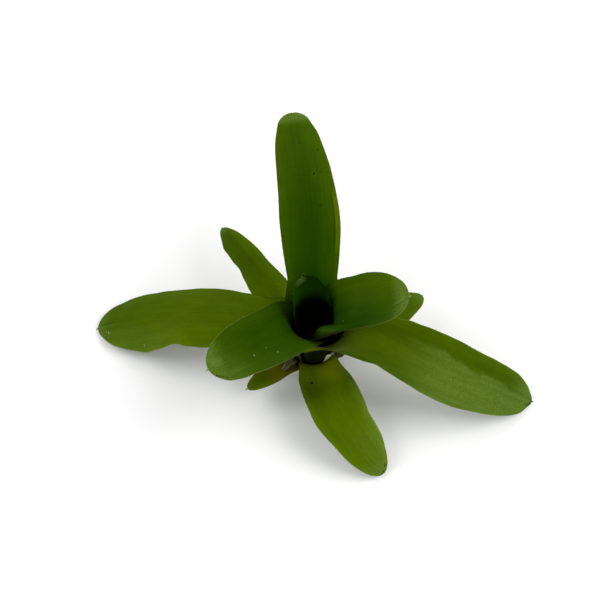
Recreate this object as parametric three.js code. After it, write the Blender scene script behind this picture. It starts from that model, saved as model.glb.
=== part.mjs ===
// A bare-rooted neoregelia offset: ten strap leaves whose sheaths nest into a cup on a short stem.
// It stands on the flat cut under the stem, and the tips of its three lowest leaves reach down round it.
// Millimetres and degrees, +Z up, with the origin at the centre of the cut.
import * as THREE from "three";

const { degToRad, lerp, smoothstep } = THREE.MathUtils;

// The funnel that all sheaths follow: each leaf is one layer, and layer 0 is the innermost.
const FUNNEL_RADIUS = 10.4; // of layer 0, high up
const FUNNEL_NARROWING = 9.9; // less than that at the oldest foot
const FUNNEL_FADE = 16; // height over which the funnel opens
const OLDEST_FOOT = 10; // height of the lowest sheath foot
const FOOT_STEP = 1.5; // height from one foot to the next younger one
const OLDEST_LAYER = 6;
const LAYER_PITCH = 1.2; // from the middle of one sheath to the next

const SHEATH_THICK = 0.8;
const BLADE_THICK = 0.95; // along the midrib
const EDGE_THICK = 0.65; // along the margins
const SEAT_GAP = 0.3; // left between neighbouring pieces

const MARGIN_OPENING = 4; // the margins leave the sheath's arc this far below the neck
const NECK_UNROLLING = 1.3; // neck lengths over which the funnel's arc gives way to the blade's
const NEARLY_FLAT = 1e-6; // curvature added to keep the arc of a flat leaf finite
const CHANNEL_FADE = 30; // distance over which the channel near the neck flattens
const WAVE_START = [0.3, 0.5]; // shares of the blade where a wavy edge grows to its full height
const WAVE_END = 0.12; // share of the blade at the tip where it dies away
const LIP_START = [4, 10]; // distances above the neck where a collar's lip grows
const LIP_END = 14; // distance over which it dies away
const LIP_FOLD = 0.5; // share of the half breadth where it starts to flare

const CELL_LENGTH = 4.6; // of the leaf mesh, along the blade
const CELL_ANGLE = 22; // of the leaf mesh, round a sheath
const SHEATH_CELLS = 5;
const SUBSTEPS = 12; // of the midline integration, for each cell
const TIP_CROWDING = 1.5; // above 1, the cells shorten towards the tip
const TIP_HALF_WIDTH = 0.6;
const TIP_SPINE = 1.7; // the hard point that ends each leaf
const TOOTH_HEIGHT = 0.45; // the small hooks along the margins
const TOOTH_BASE = 1.2;
const TOOTH_LEAN = 0.4;
const TOOTHLESS_TIP = 5; // bare margin next to the tip
const TOOTHLESS_NECK = 0.8; // share of the neck whose margin is bare

const STEM_RADIUS = 8.1; // of the stolon stump, under the leaves
const CUT_RADIUS = 6.8; // of the flat cut that ends it
const STEM_SHOULDER = 9.3; // height where the stump ends and the leaf scars begin
const SCAR_HEIGHTS = [3.1, 5.6, 7.6]; // of the rings left by leaves long gone
const SCAR_DEPTH = 0.25;
const SCAR_HALF_WIDTH = 0.3;
const STEM_UNEVEN = 0.045; // share by which the stump is out of round
const STEM_SIDES = 40;
const CUT_EDGE = 0.6; // height over which the stump widens from the cut
const APEX_ROUNDING = 1.5; // height of the rounded growing point above the youngest foot
const APEX_RADIUS = 2.6;

const HEART_HEIGHT = 17; // of the rolled young leaf on the growing point
const HEART_RADIUS = 2.3;
const HEART_SIDES = 16;
const HEART_RINGS = 8;
const HEART_TAPER = 1.8; // above 1, the bud keeps its girth longer
const HEART_FOOT = 0.85; // share of the girth left at its foot
const HEART_BELLY = 0.6;

// Each leaf: azimuth is its direction from the axis, and wrap how far its sheath goes round it clockwise
// and anticlockwise, seen from above. A collar is how much later its clockwise margin leaves the sheath,
// and a lip how far that margin flares out over the neck.
// Rise and droop are the slopes where the blade has left the sheath and at its tip. Sweep turns the
// blade sideways, roll twists it, channel and fold are its curvatures across (1/mm) near the neck and
// all along, widest is where along it the blade is widest, and bluntness shapes its end.
const LEAVES = {
  leaf_back_long: {
    layer: 3, azimuth: 91, wrap: [90, 90], neckHeight: 34, neckLength: 22,
    length: 106.5, width: 29, neckWidth: 21, widest: 0.41, bluntness: 3.1,
    rise: 51, droop: 8, sweep: 13, roll: 7, channel: 0.034, fold: 0, color: "#2f4c02",
  },
  leaf_left_long: {
    layer: 4, azimuth: 166.5, wrap: [82, 72], neckHeight: 29, neckLength: 22,
    length: 118, width: 34.5, neckWidth: 15.5, widest: 0.47, bluntness: 3.4,
    rise: -12, droop: -30, sweep: 9, roll: -8, channel: 0.018, fold: -0.02, color: "#4b6305",
    wave: { height: -1.6, length: 44, from: 82 },
  },
  leaf_right_long: {
    layer: 4, azimuth: -21, wrap: [90, 30], collar: 8, neckHeight: 36.5, neckLength: 22,
    length: 121, width: 33.5, neckWidth: 22.5, widest: 0.45, bluntness: 2.05,
    rise: -12, droop: -37.8, sweep: 27.5, roll: 30, channel: 0.08, fold: 0.02, color: "#445d07",
  },
  leaf_front: {
    layer: 5, azimuth: -75, wrap: [58, 58], neckHeight: 17, neckLength: 8,
    length: 71.5, width: 27, neckWidth: 19, widest: 0.27, bluntness: 2.2,
    rise: 20, droop: -50, sweep: 45, roll: 14.5, channel: 0.011, fold: 0.004, color: "#465d02",
  },
  leaf_front_left_broad: {
    layer: 2, azimuth: 221.5, wrap: [95, 92], neckHeight: 41, neckLength: 20,
    length: 58, width: 32, neckWidth: 30, widest: 0.47, bluntness: 2.6,
    rise: 31, droop: -2, sweep: -15, roll: 5, channel: 0.033, fold: 0.017, color: "#2f4c04",
  },
  leaf_right_broad: {
    layer: 1, azimuth: -6, wrap: [92, 100], collar: 10, lip: 4, neckHeight: 45, neckLength: 22,
    length: 47.5, width: 32.5, neckWidth: 23, widest: 0.52, bluntness: 2.15,
    rise: 28, droop: 27, sweep: 4, roll: 0, channel: 0.06, fold: 0.02, color: "#2e4a02",
  },
  leaf_back_left_narrow: {
    layer: 6, azimuth: 130, wrap: [45, 45], neckHeight: 17, neckLength: 22,
    length: 77.5, width: 18.5, neckWidth: 15, widest: 0.35, bluntness: 1.65,
    rise: 34, droop: -20, sweep: -10, roll: -6, channel: 0.027, fold: 0.006, color: "#3b5403",
  },
  leaf_right_narrow: {
    layer: 6, azimuth: 20, wrap: [42, 42], neckHeight: 16, neckLength: 22,
    length: 59.5, width: 20.5, neckWidth: 12, widest: 0.48, bluntness: 1.5,
    rise: 6, droop: -16, sweep: 19, roll: 4, channel: 0.028, fold: 0.004, color: "#3d5b03",
  },
  leaf_front_left_small: {
    layer: 6, azimuth: 217.5, wrap: [34, 34], neckHeight: 14, neckLength: 12,
    length: 33, width: 12.5, neckWidth: 12, widest: 0.46, bluntness: 1.55,
    rise: 9, droop: -31, sweep: -18, roll: 0, channel: 0.029, fold: 0.007, color: "#3a4506",
  },
  leaf_inner_spoon: {
    layer: 0, azimuth: 111, wrap: [100, 100], neckHeight: 46, neckLength: 14,
    length: 20, width: 26.5, neckWidth: 22.5, widest: 0.34, bluntness: 2.1,
    rise: 83, droop: 70, sweep: 0, roll: 5, channel: 0.09, fold: 0.06, color: "#1c3405",
  },
};

// Dry scale leaves, the oldest of all, outside the sheaths and just above the stump.
const SCALES = {
  scale_front_left: { azimuth: 256, length: 9, width: 7, rise: 45, droop: 5, sweep: 25 },
  scale_right: { azimuth: -12, length: 8, width: 6.5, rise: 50, droop: 20, sweep: -15 },
  scale_back: { azimuth: 88, length: 7, width: 7, rise: 55, droop: 30, sweep: 10 },
};
const SCALE = {
  layer: 7.1, foot: 9.7, wrap: [24, 24], neckHeight: 12.5, neckLength: 5, neckWidth: 6.5, widest: 0.3,
  bluntness: 1.6, roll: 0, channel: 0.05, fold: 0.03, color: "#6b5a38", toothless: true,
};

const footHeight = (leaf) =>
  leaf.foot ?? OLDEST_FOOT + FOOT_STEP * (OLDEST_LAYER - leaf.layer);
const funnelDrop = (height) => FUNNEL_NARROWING * Math.exp((OLDEST_FOOT - height) / FUNNEL_FADE);
const layerRadius = (layer, height) => FUNNEL_RADIUS - funnelDrop(height) + LAYER_PITCH * layer;
const wallSlope = (height) => Math.atan2(1, funnelDrop(height) / FUNNEL_FADE);

// The middle line of a leaf, as stations that hold the distance along the blade (negative in the
// sheath), the place, the slope and the heading.
function midline(leaf) {
  const azimuth = degToRad(leaf.azimuth);
  const onWall = (height) => {
    const radius = layerRadius(leaf.layer, height);
    return new THREE.Vector3(radius * Math.cos(azimuth), radius * Math.sin(azimuth), height);
  };
  const neck = onWall(leaf.neckHeight);
  const stations = [];
  for (let i = 0; i < SHEATH_CELLS; i++) {
    const height = lerp(footHeight(leaf), leaf.neckHeight, i / SHEATH_CELLS);
    const point = onWall(height);
    stations.push({ x: -point.distanceTo(neck), point, slope: wallSlope(height), heading: azimuth });
  }
  const slopeAt = (x) =>
    lerp(wallSlope(leaf.neckHeight), degToRad(leaf.rise), smoothstep(x, 0, leaf.neckLength)) +
    (degToRad(leaf.droop - leaf.rise) * x) / leaf.length;
  const headingAt = (x) => azimuth + degToRad(leaf.sweep) * (x / leaf.length) ** 1.5;
  const cells = Math.max(4, Math.ceil(leaf.length / CELL_LENGTH));
  const point = neck.clone();
  let x = 0;
  for (let i = 0; i <= cells; i++) {
    const next = leaf.length * (1 - (1 - i / cells) ** TIP_CROWDING);
    for (let k = 0, step = (next - x) / SUBSTEPS; step > 0 && k < SUBSTEPS; k++) {
      point.addScaledVector(direction(slopeAt(x + step / 2), headingAt(x + step / 2)), step);
      x += step;
    }
    x = next;
    stations.push({ x, point: point.clone(), slope: slopeAt(x), heading: headingAt(x) });
  }
  return stations;
}

function direction(slope, heading) {
  const level = Math.cos(slope);
  return new THREE.Vector3(
    level * Math.cos(heading),
    level * Math.sin(heading),
    Math.sin(slope),
  );
}

// Half the breadth of the leaf at a station: the sheath's arc, easing into the blade's outline.
function halfBreadth(leaf, x, radius, v) {
  const along = Math.max(0, x / leaf.length);
  const half = leaf.width / 2;
  const beyond = Math.max(0, (along - leaf.widest) / (1 - leaf.widest));
  const blade =
    along < leaf.widest
      ? lerp(leaf.neckWidth / 2, half, smoothstep(along, 0, leaf.widest))
      : Math.max(TIP_HALF_WIDTH, half * Math.sqrt(Math.max(0, 1 - beyond ** leaf.bluntness)));
  const late = v < 0 ? (leaf.collar ?? 0) : 0;
  const sheath = degToRad(leaf.wrap[v < 0 ? 0 : 1]) * radius;
  return lerp(sheath, blade, smoothstep(x, late - MARGIN_OPENING, late + leaf.neckLength));
}

// The point at v from -1 to 1 across a station: on the funnel in the sheath, on the channelled
// and twisted blade beyond it, and between the two over the neck.
function acrossPoint(leaf, station, v) {
  const { x, point, slope, heading } = station;
  const radius = Math.hypot(point.x, point.y);
  const arc = v * halfBreadth(leaf, x, radius, v);
  const along = Math.max(0, x / leaf.length);

  const turn = Math.atan2(point.y, point.x) + arc / radius;
  const inSheath = new THREE.Vector3(radius * Math.cos(turn), radius * Math.sin(turn), point.z);

  const sideways = new THREE.Vector3(-Math.sin(heading), Math.cos(heading), 0);
  const upward = direction(slope, heading).cross(sideways);
  const twist = degToRad(leaf.roll) * along;
  const side = sideways.clone().multiplyScalar(Math.cos(twist));
  side.addScaledVector(upward, Math.sin(twist));
  const up = upward.multiplyScalar(Math.cos(twist)).addScaledVector(sideways, -Math.sin(twist));
  const curvature = leaf.channel * Math.exp(-Math.max(0, x) / CHANNEL_FADE) + leaf.fold + NEARLY_FLAT;
  const inBlade = point.clone();
  inBlade.addScaledVector(side, Math.sin(curvature * arc) / curvature);
  inBlade.addScaledVector(up, (1 - Math.cos(curvature * arc)) / curvature + waveLift(leaf, x, v));

  const outward = new THREE.Vector3(Math.cos(turn), Math.sin(turn), 0);
  const surface = inSheath.lerp(inBlade, smoothstep(x, 0, NECK_UNROLLING * leaf.neckLength));
  return surface.addScaledVector(outward, lipFlare(leaf, x, v));
}

// How far the clockwise margin of a collar flares out over the neck, as a lip.
function lipFlare(leaf, x, v) {
  if (!leaf.lip || v >= 0) return 0;
  const alongNeck = smoothstep(x, ...LIP_START) * smoothstep(leaf.neckLength - x, 0, LIP_END);
  return leaf.lip * smoothstep(-v, LIP_FOLD, 1) * alongNeck;
}

// How far the margin on the +v side lifts where the leaf has a wavy edge.
function waveLift(leaf, x, v) {
  if (!leaf.wave || v <= 0) return 0;
  const along = x / leaf.length;
  const fade = smoothstep(along, ...WAVE_START) * smoothstep(1 - along, 0, WAVE_END);
  const phase = (2 * Math.PI * (x - leaf.wave.from)) / leaf.wave.length;
  return leaf.wave.height * v * v * Math.sin(phase) * fade;
}

// A closed leaf: an upper and a lower face split alike, the margins with their teeth, a flat foot
// and the spine at the tip.
function leafGeometry(leaf) {
  const stations = midline(leaf);
  const columns = 2 * Math.max(3, Math.ceil(Math.max(...leaf.wrap) / CELL_ANGLE));
  const last = stations.length - 1;
  const middle = stations.map((station) =>
    Array.from({ length: columns + 1 }, (_, j) =>
      acrossPoint(leaf, station, (2 * j) / columns - 1),
    ),
  );
  const coordinates = [];
  const faces = [];
  const add = (point) => coordinates.push(...point.toArray()) / 3 - 1;
  const face = (...corners) => {
    for (let k = 2; k < corners.length; k++) faces.push(corners[0], corners[k - 1], corners[k]);
  };

  const upper = [];
  const lower = [];
  stations.forEach((station, i) => {
    upper.push([]);
    lower.push([]);
    for (let j = 0; j <= columns; j++) {
      const v = (2 * j) / columns - 1;
      const lengthwise = middle[Math.min(i + 1, last)][j].clone().sub(middle[Math.max(i - 1, 0)][j]);
      const crosswise = middle[i][Math.min(j + 1, columns)].clone();
      crosswise.sub(middle[i][Math.max(j - 1, 0)]);
      const normal = lengthwise.cross(crosswise).normalize();
      const bladeThick = lerp(BLADE_THICK, EDGE_THICK, v * v);
      const thick = lerp(SHEATH_THICK, bladeThick, smoothstep(station.x, 0, leaf.neckLength));
      upper[i].push(add(middle[i][j].clone().addScaledVector(normal, thick / 2)));
      lower[i].push(add(middle[i][j].clone().addScaledVector(normal, -thick / 2)));
    }
  });
  const place = (index) => new THREE.Vector3().fromArray(coordinates, 3 * index);

  for (let i = 0; i < last; i++) {
    for (let j = 1; j < columns - 1; j++) {
      face(upper[i][j], upper[i + 1][j], upper[i + 1][j + 1], upper[i][j + 1]);
      face(lower[i][j], lower[i][j + 1], lower[i + 1][j + 1], lower[i + 1][j]);
    }
    for (const j of [0, columns]) marginCell(i, j, j ? columns - 1 : 1);
  }

  // The outermost cell on one side and the margin along it, with a tooth where the blade has one.
  function marginCell(i, edge, inner) {
    const rightward = edge > inner;
    const oriented = (...corners) => face(...(rightward ? corners : corners.reverse()));
    const toothed =
      !leaf.toothless &&
      stations[i].x > TOOTHLESS_NECK * leaf.neckLength &&
      stations[i + 1].x < leaf.length - TOOTHLESS_TIP;
    const rows = [upper, lower].map((row) => {
      const from = row[i][edge];
      const to = row[i + 1][edge];
      if (!toothed) return [from, to];
      const run = place(to).sub(place(from));
      const share = TOOTH_BASE / run.length() / 2;
      const at = (fraction) => add(place(from).addScaledVector(run, fraction));
      return [from, at(0.5 - share), at(0.5 + share), to];
    });
    const [top, bottom] = rows;
    const corner = upper[i][inner];
    oriented(corner, upper[i + 1][inner], ...[...top].reverse());
    oriented(lower[i][inner], ...bottom, lower[i + 1][inner]);
    for (let k = 1; k < top.length; k++) {
      const ring = [top[k - 1], top[k], bottom[k], bottom[k - 1]];
      if (!(toothed && k === 2)) {
        oriented(...ring);
        continue;
      }
      const centre = new THREE.Vector3();
      ring.forEach((index) => centre.addScaledVector(place(index), 1 / 4));
      const outward = middle[i][edge].clone().sub(middle[i][inner]).normalize();
      const forward = middle[i + 1][edge].clone().sub(middle[i][edge]).normalize();
      centre.addScaledVector(outward, TOOTH_HEIGHT).addScaledVector(forward, TOOTH_LEAN);
      const hook = add(centre);
      ring.forEach((index, n) => oriented(index, ring[(n + 1) % 4], hook));
    }
  }

  const ahead = direction(stations[last].slope, stations[last].heading);
  const spine = add(stations[last].point.clone().addScaledVector(ahead, TIP_SPINE));
  const tipRing = [...upper[last], ...[...lower[last]].reverse()];
  tipRing.forEach((index, n) => face(tipRing[(n + 1) % tipRing.length], index, spine));
  for (let j = 0; j < columns; j++)
    face(upper[0][j], upper[0][j + 1], lower[0][j + 1], lower[0][j]);

  const geometry = new THREE.BufferGeometry();
  geometry.setAttribute("position", new THREE.Float32BufferAttribute(coordinates, 3));
  geometry.setIndex(faces);
  geometry.computeVertexNormals();
  return geometry;
}

// The stem: a stump with ring scars and a flat cut, and above it the cone that the sheaths sit on.
function stemGeometry() {
  const seatRadius = (layer) =>
    layerRadius(layer, footHeight({ layer })) - SHEATH_THICK / 2 - SEAT_GAP;
  const stumpRadius = (height) =>
    lerp(CUT_RADIUS, STEM_RADIUS, Math.sqrt(height / STEM_SHOULDER));
  const profile = [[0, 0], [CUT_RADIUS, 0], [stumpRadius(CUT_EDGE), CUT_EDGE]];
  for (const height of SCAR_HEIGHTS)
    profile.push(
      [stumpRadius(height), height - SCAR_HALF_WIDTH],
      [stumpRadius(height) - SCAR_DEPTH, height],
      [stumpRadius(height), height + SCAR_HALF_WIDTH],
    );
  profile.push([STEM_RADIUS, STEM_SHOULDER], [seatRadius(OLDEST_LAYER), STEM_SHOULDER]);
  for (let layer = OLDEST_LAYER; layer >= 0; layer -= 2)
    profile.push([seatRadius(layer), footHeight({ layer })]);
  profile.push([APEX_RADIUS, footHeight({ layer: 0 }) + APEX_ROUNDING]);
  profile.push([0, footHeight({ layer: 0 }) + APEX_ROUNDING]);
  const geometry = new THREE.LatheGeometry(
    profile.map(([radius, height]) => new THREE.Vector2(radius, height)),
    STEM_SIDES,
  ).rotateX(Math.PI / 2);
  const place = geometry.getAttribute("position");
  for (let i = 0; i < place.count; i++) {
    if (place.getZ(i) >= STEM_SHOULDER) continue;
    const turn = Math.atan2(place.getY(i), place.getX(i));
    const outline = Math.cos(2 * turn + 0.6) + 0.4 * Math.cos(5 * turn);
    const stretch = 1 + STEM_UNEVEN * (outline - 1);
    place.setXY(i, place.getX(i) * stretch, place.getY(i) * stretch);
  }
  geometry.computeVertexNormals();
  return geometry;
}

// The youngest leaf, still rolled into a pointed bud on the growing point.
function heartGeometry() {
  const base = footHeight({ layer: 0 }) + APEX_ROUNDING + SEAT_GAP;
  const profile = [new THREE.Vector2(0, base)];
  for (let i = 0; i < HEART_RINGS; i++) {
    const up = i / HEART_RINGS;
    const girth = (1 - up ** HEART_TAPER) * (HEART_FOOT + HEART_BELLY * up * (1 - up));
    const radius = HEART_RADIUS * girth;
    profile.push(new THREE.Vector2(radius, base + up * HEART_HEIGHT));
  }
  profile.push(new THREE.Vector2(0, base + HEART_HEIGHT));
  return new THREE.LatheGeometry(profile, HEART_SIDES).rotateX(Math.PI / 2);
}

const bromeliad = new THREE.Group();

function addPiece(name, geometry, color, roughness) {
  const material = new THREE.MeshStandardMaterial({ color, roughness, metalness: 0 });
  const mesh = new THREE.Mesh(geometry, material);
  mesh.name = name;
  bromeliad.add(mesh);
}

addPiece("stem", stemGeometry(), "#6f6241", 0.9);
addPiece("leaf_heart", heartGeometry(), "#4c6a1c", 0.5);
for (const [name, leaf] of Object.entries(LEAVES))
  addPiece(name, leafGeometry(leaf), leaf.color, 0.45);
for (const [name, shape] of Object.entries(SCALES))
  addPiece(name, leafGeometry({ ...SCALE, ...shape }), SCALE.color, 0.85);

export default bromeliad;
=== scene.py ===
"""A bare-rooted neoregelia offset: living leaves, dry scales and a corky stem, on a pale studio floor.

Lengths are millimetres and angles degrees until a mesh is made, which is in metres."""

import math
from types import SimpleNamespace

import bpy
import numpy as np
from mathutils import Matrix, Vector


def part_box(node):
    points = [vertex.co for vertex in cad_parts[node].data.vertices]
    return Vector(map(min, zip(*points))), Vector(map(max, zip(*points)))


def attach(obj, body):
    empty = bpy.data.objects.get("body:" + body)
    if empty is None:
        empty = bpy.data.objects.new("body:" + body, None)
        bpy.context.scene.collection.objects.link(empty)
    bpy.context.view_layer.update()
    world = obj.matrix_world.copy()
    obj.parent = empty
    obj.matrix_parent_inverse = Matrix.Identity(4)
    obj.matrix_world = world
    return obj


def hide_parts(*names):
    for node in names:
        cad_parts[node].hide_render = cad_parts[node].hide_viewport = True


bl_info = {
    "name": "Neoregelia Offset",
    "version": (1, 0, 0),
    "blender": (4, 5, 0),
    "location": "View3D > Sidebar > Neoregelia",
    "description": "Finishes the leaves, the dry scales and the stem of a neoregelia offset",
    "category": "Add Mesh",
}

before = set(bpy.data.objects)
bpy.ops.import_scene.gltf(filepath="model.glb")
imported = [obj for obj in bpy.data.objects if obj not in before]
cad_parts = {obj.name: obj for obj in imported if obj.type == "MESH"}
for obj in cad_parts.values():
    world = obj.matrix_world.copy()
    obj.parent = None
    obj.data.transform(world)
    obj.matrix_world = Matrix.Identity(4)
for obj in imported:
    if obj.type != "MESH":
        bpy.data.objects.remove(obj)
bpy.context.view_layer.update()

MM = 0.001
BODY = "root"

# The funnel that all sheaths follow: each leaf is one layer, and layer 0 is the innermost.
FUNNEL_RADIUS = 10.4
FUNNEL_NARROWING = 9.9
FUNNEL_FADE = 16
OLDEST_FOOT = 10
FOOT_STEP = 1.5
OLDEST_LAYER = 6
LAYER_PITCH = 1.2

# How a sheath opens into its blade, and how a blade ends.
MARGIN_OPENING = 4
NECK_UNROLLING = 1.3
CHANNEL_FADE = 30
NEARLY_FLAT = 1e-6
TIP_HALF_WIDTH = 0.5
TIP_CROWDING = 1.5
SWEEP_GROWTH = 1.5
MIDLINE_STEPS = 801

# Where a wavy margin begins and ends, in shares of the length, and a lip and its crest, in millimetres
# along and in shares of the half breadth.
WAVE_START = (0.3, 0.5)
WAVE_END = 0.12
LIP_START = (4, 10)
LIP_END = 14
LIP_FOLD = 0.5
CREST_START = (-4, 9)
CREST_FOLD = (0.35, 0.75)
CREST_MARGIN = 0.2
CREST_INWARD = 0.5

# Fine relief. It begins between two numbers of neck lengths. Pleats wander by (turn, length), and swells
# are (height, length), the second for the margins alone.
RELIEF_START = (0.5, 1.6)
PLEAT_SPACING = 2.3
PLEAT_WANDER = (0.8, 45)
BLADE_SWELL = (0.2, 31)
MARGIN_SWELL = (0.25, 17)
SWELL_END = 12
GROOVE_HALF_WIDTH = 0.8
CUP_REACH = 7
CURL_START = 10
CURL_END = 14

# The mesh of a leaf, and how it thins towards its margins.
ROW_STEP = 0.95
SHEATH_ROW_STEP = 1.6 * ROW_STEP
COLUMN_STEP = 1.1
MARGIN_TAPER = 9
MARGIN_ROUNDING = 0.4
TIP_MARGIN = 0.15
THINNEST = 0.12

# Thorns: the hook's steps are (forward, how it narrows, lean). Teeth begin some neck lengths along and end
# some millimetres before the tip. Sizes, widths and roots are in tooth heights, gaps in tooth spacings,
# and the colours are those of foot and point, where 0 is pale and 1 brown.
HOOK_SIDES = 7
HOOK_STEPS = ((0.35, 0.62, 0.04), (0.35, 0.5, 0.1), (0.3, 0.15, 0.16))
TEETH_START = 1.1
TEETH_END = 3
TOOTH_SIZES = (0.75, 1.15)
TOOTH_GAPS = (0.7, 1.3)
TOOTH_WIDE = 1.9
TOOTH_THICK = 0.55
TOOTH_COLOURS = (0.1, 0.55)
THORN_ROOT = 0.25
SPINE_THICK = 0.8

# Each leaf: azimuth is its direction from the axis, and wrap how far its sheath goes round it clockwise
# and anticlockwise, seen from above. A collar is how much later its clockwise margin leaves the sheath, a
# lip how far that margin flares out, and a lip crest how far it rises inside that. Rise and droop are
# slopes, sweep turns the blade sideways, roll twists it, and channel and fold are curvatures across.
# The rest is finer than the frame. Across a leaf, -1 is its clockwise margin and 1 its anticlockwise one.
#   foot          its height, where that is not the layer's
#   edges         bulges and dents of the outline: margin, distance along, spread, amount
#   wave          of the anticlockwise margin: height, length of a wave, where one begins
#   curl          a curled strip of the clockwise margin: from, to, width, height
#   groove        before the tip: depth, reach
#   cup           how far the tip turns up
#   spine         length, and how dark it is
#   gloss         the strength of its shine
#   age           the green, from 0, the deep one of the youngest leaf, to 1
#   tone          how light that is
#   deep_green    its darkest green, where that is not worked out from the rest
#   tints         at places across: -1 is the deep green and 1 the light one, and past 1 it goes on to wax; besides the leaf's own tones they paint shade down a channel and on a side in shade, and light on a side that faces the light
#   ends          the same towards the foot and the tip
#   margin_brown_and_shadow  how brown the clockwise and the anticlockwise margin are low on the blade:
#   partly their own brown, partly a painted shadow line where they meet the leaves they overlap
#   cup_edge      where the painted shade of the cup ends on the sheath: along, tilt and bend across, softness
#   outer_edge    the same on the underside, whose dark brown also stands for painted shade in the pockets below the collars
#   neck          how far painted light lifts it, where it lies in the shade of the leaves above, and how far along
#   bloom         wax, and painted sheen where the blade faces the light: shares of the length where it begins and is full, strength, and the line that bounds it, as a factor across and one along, their sum there, and softness
#   tip_bloom     wax at the tip, partly a painted highlight where the tip catches the light: strength, reach
#   crease        a fold before the tip: reach, place across at the tip, slant, and the strength of the painted shade along it and of the painted highlight line beside it
#   rim           how pale the margin is: paler tissue, and painted light showing through it
#   marks         small stains and scars: along, across, radius, kind
PLAIN_LEAF = dict(
    foot=None, neck_length=22, collar=0, lip=0, lip_crest=0, roll=0, fold=0, edges=(), wave=None, curl=None,
    cup=0, gloss=0.2, deep_green=None, ends=(0, 0), margin_brown_and_shadow=(0.3, 0.3), outer_edge=None, neck=(1, 18),
    bloom=None, crease=None, rim=0, marks=(),
)
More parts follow.
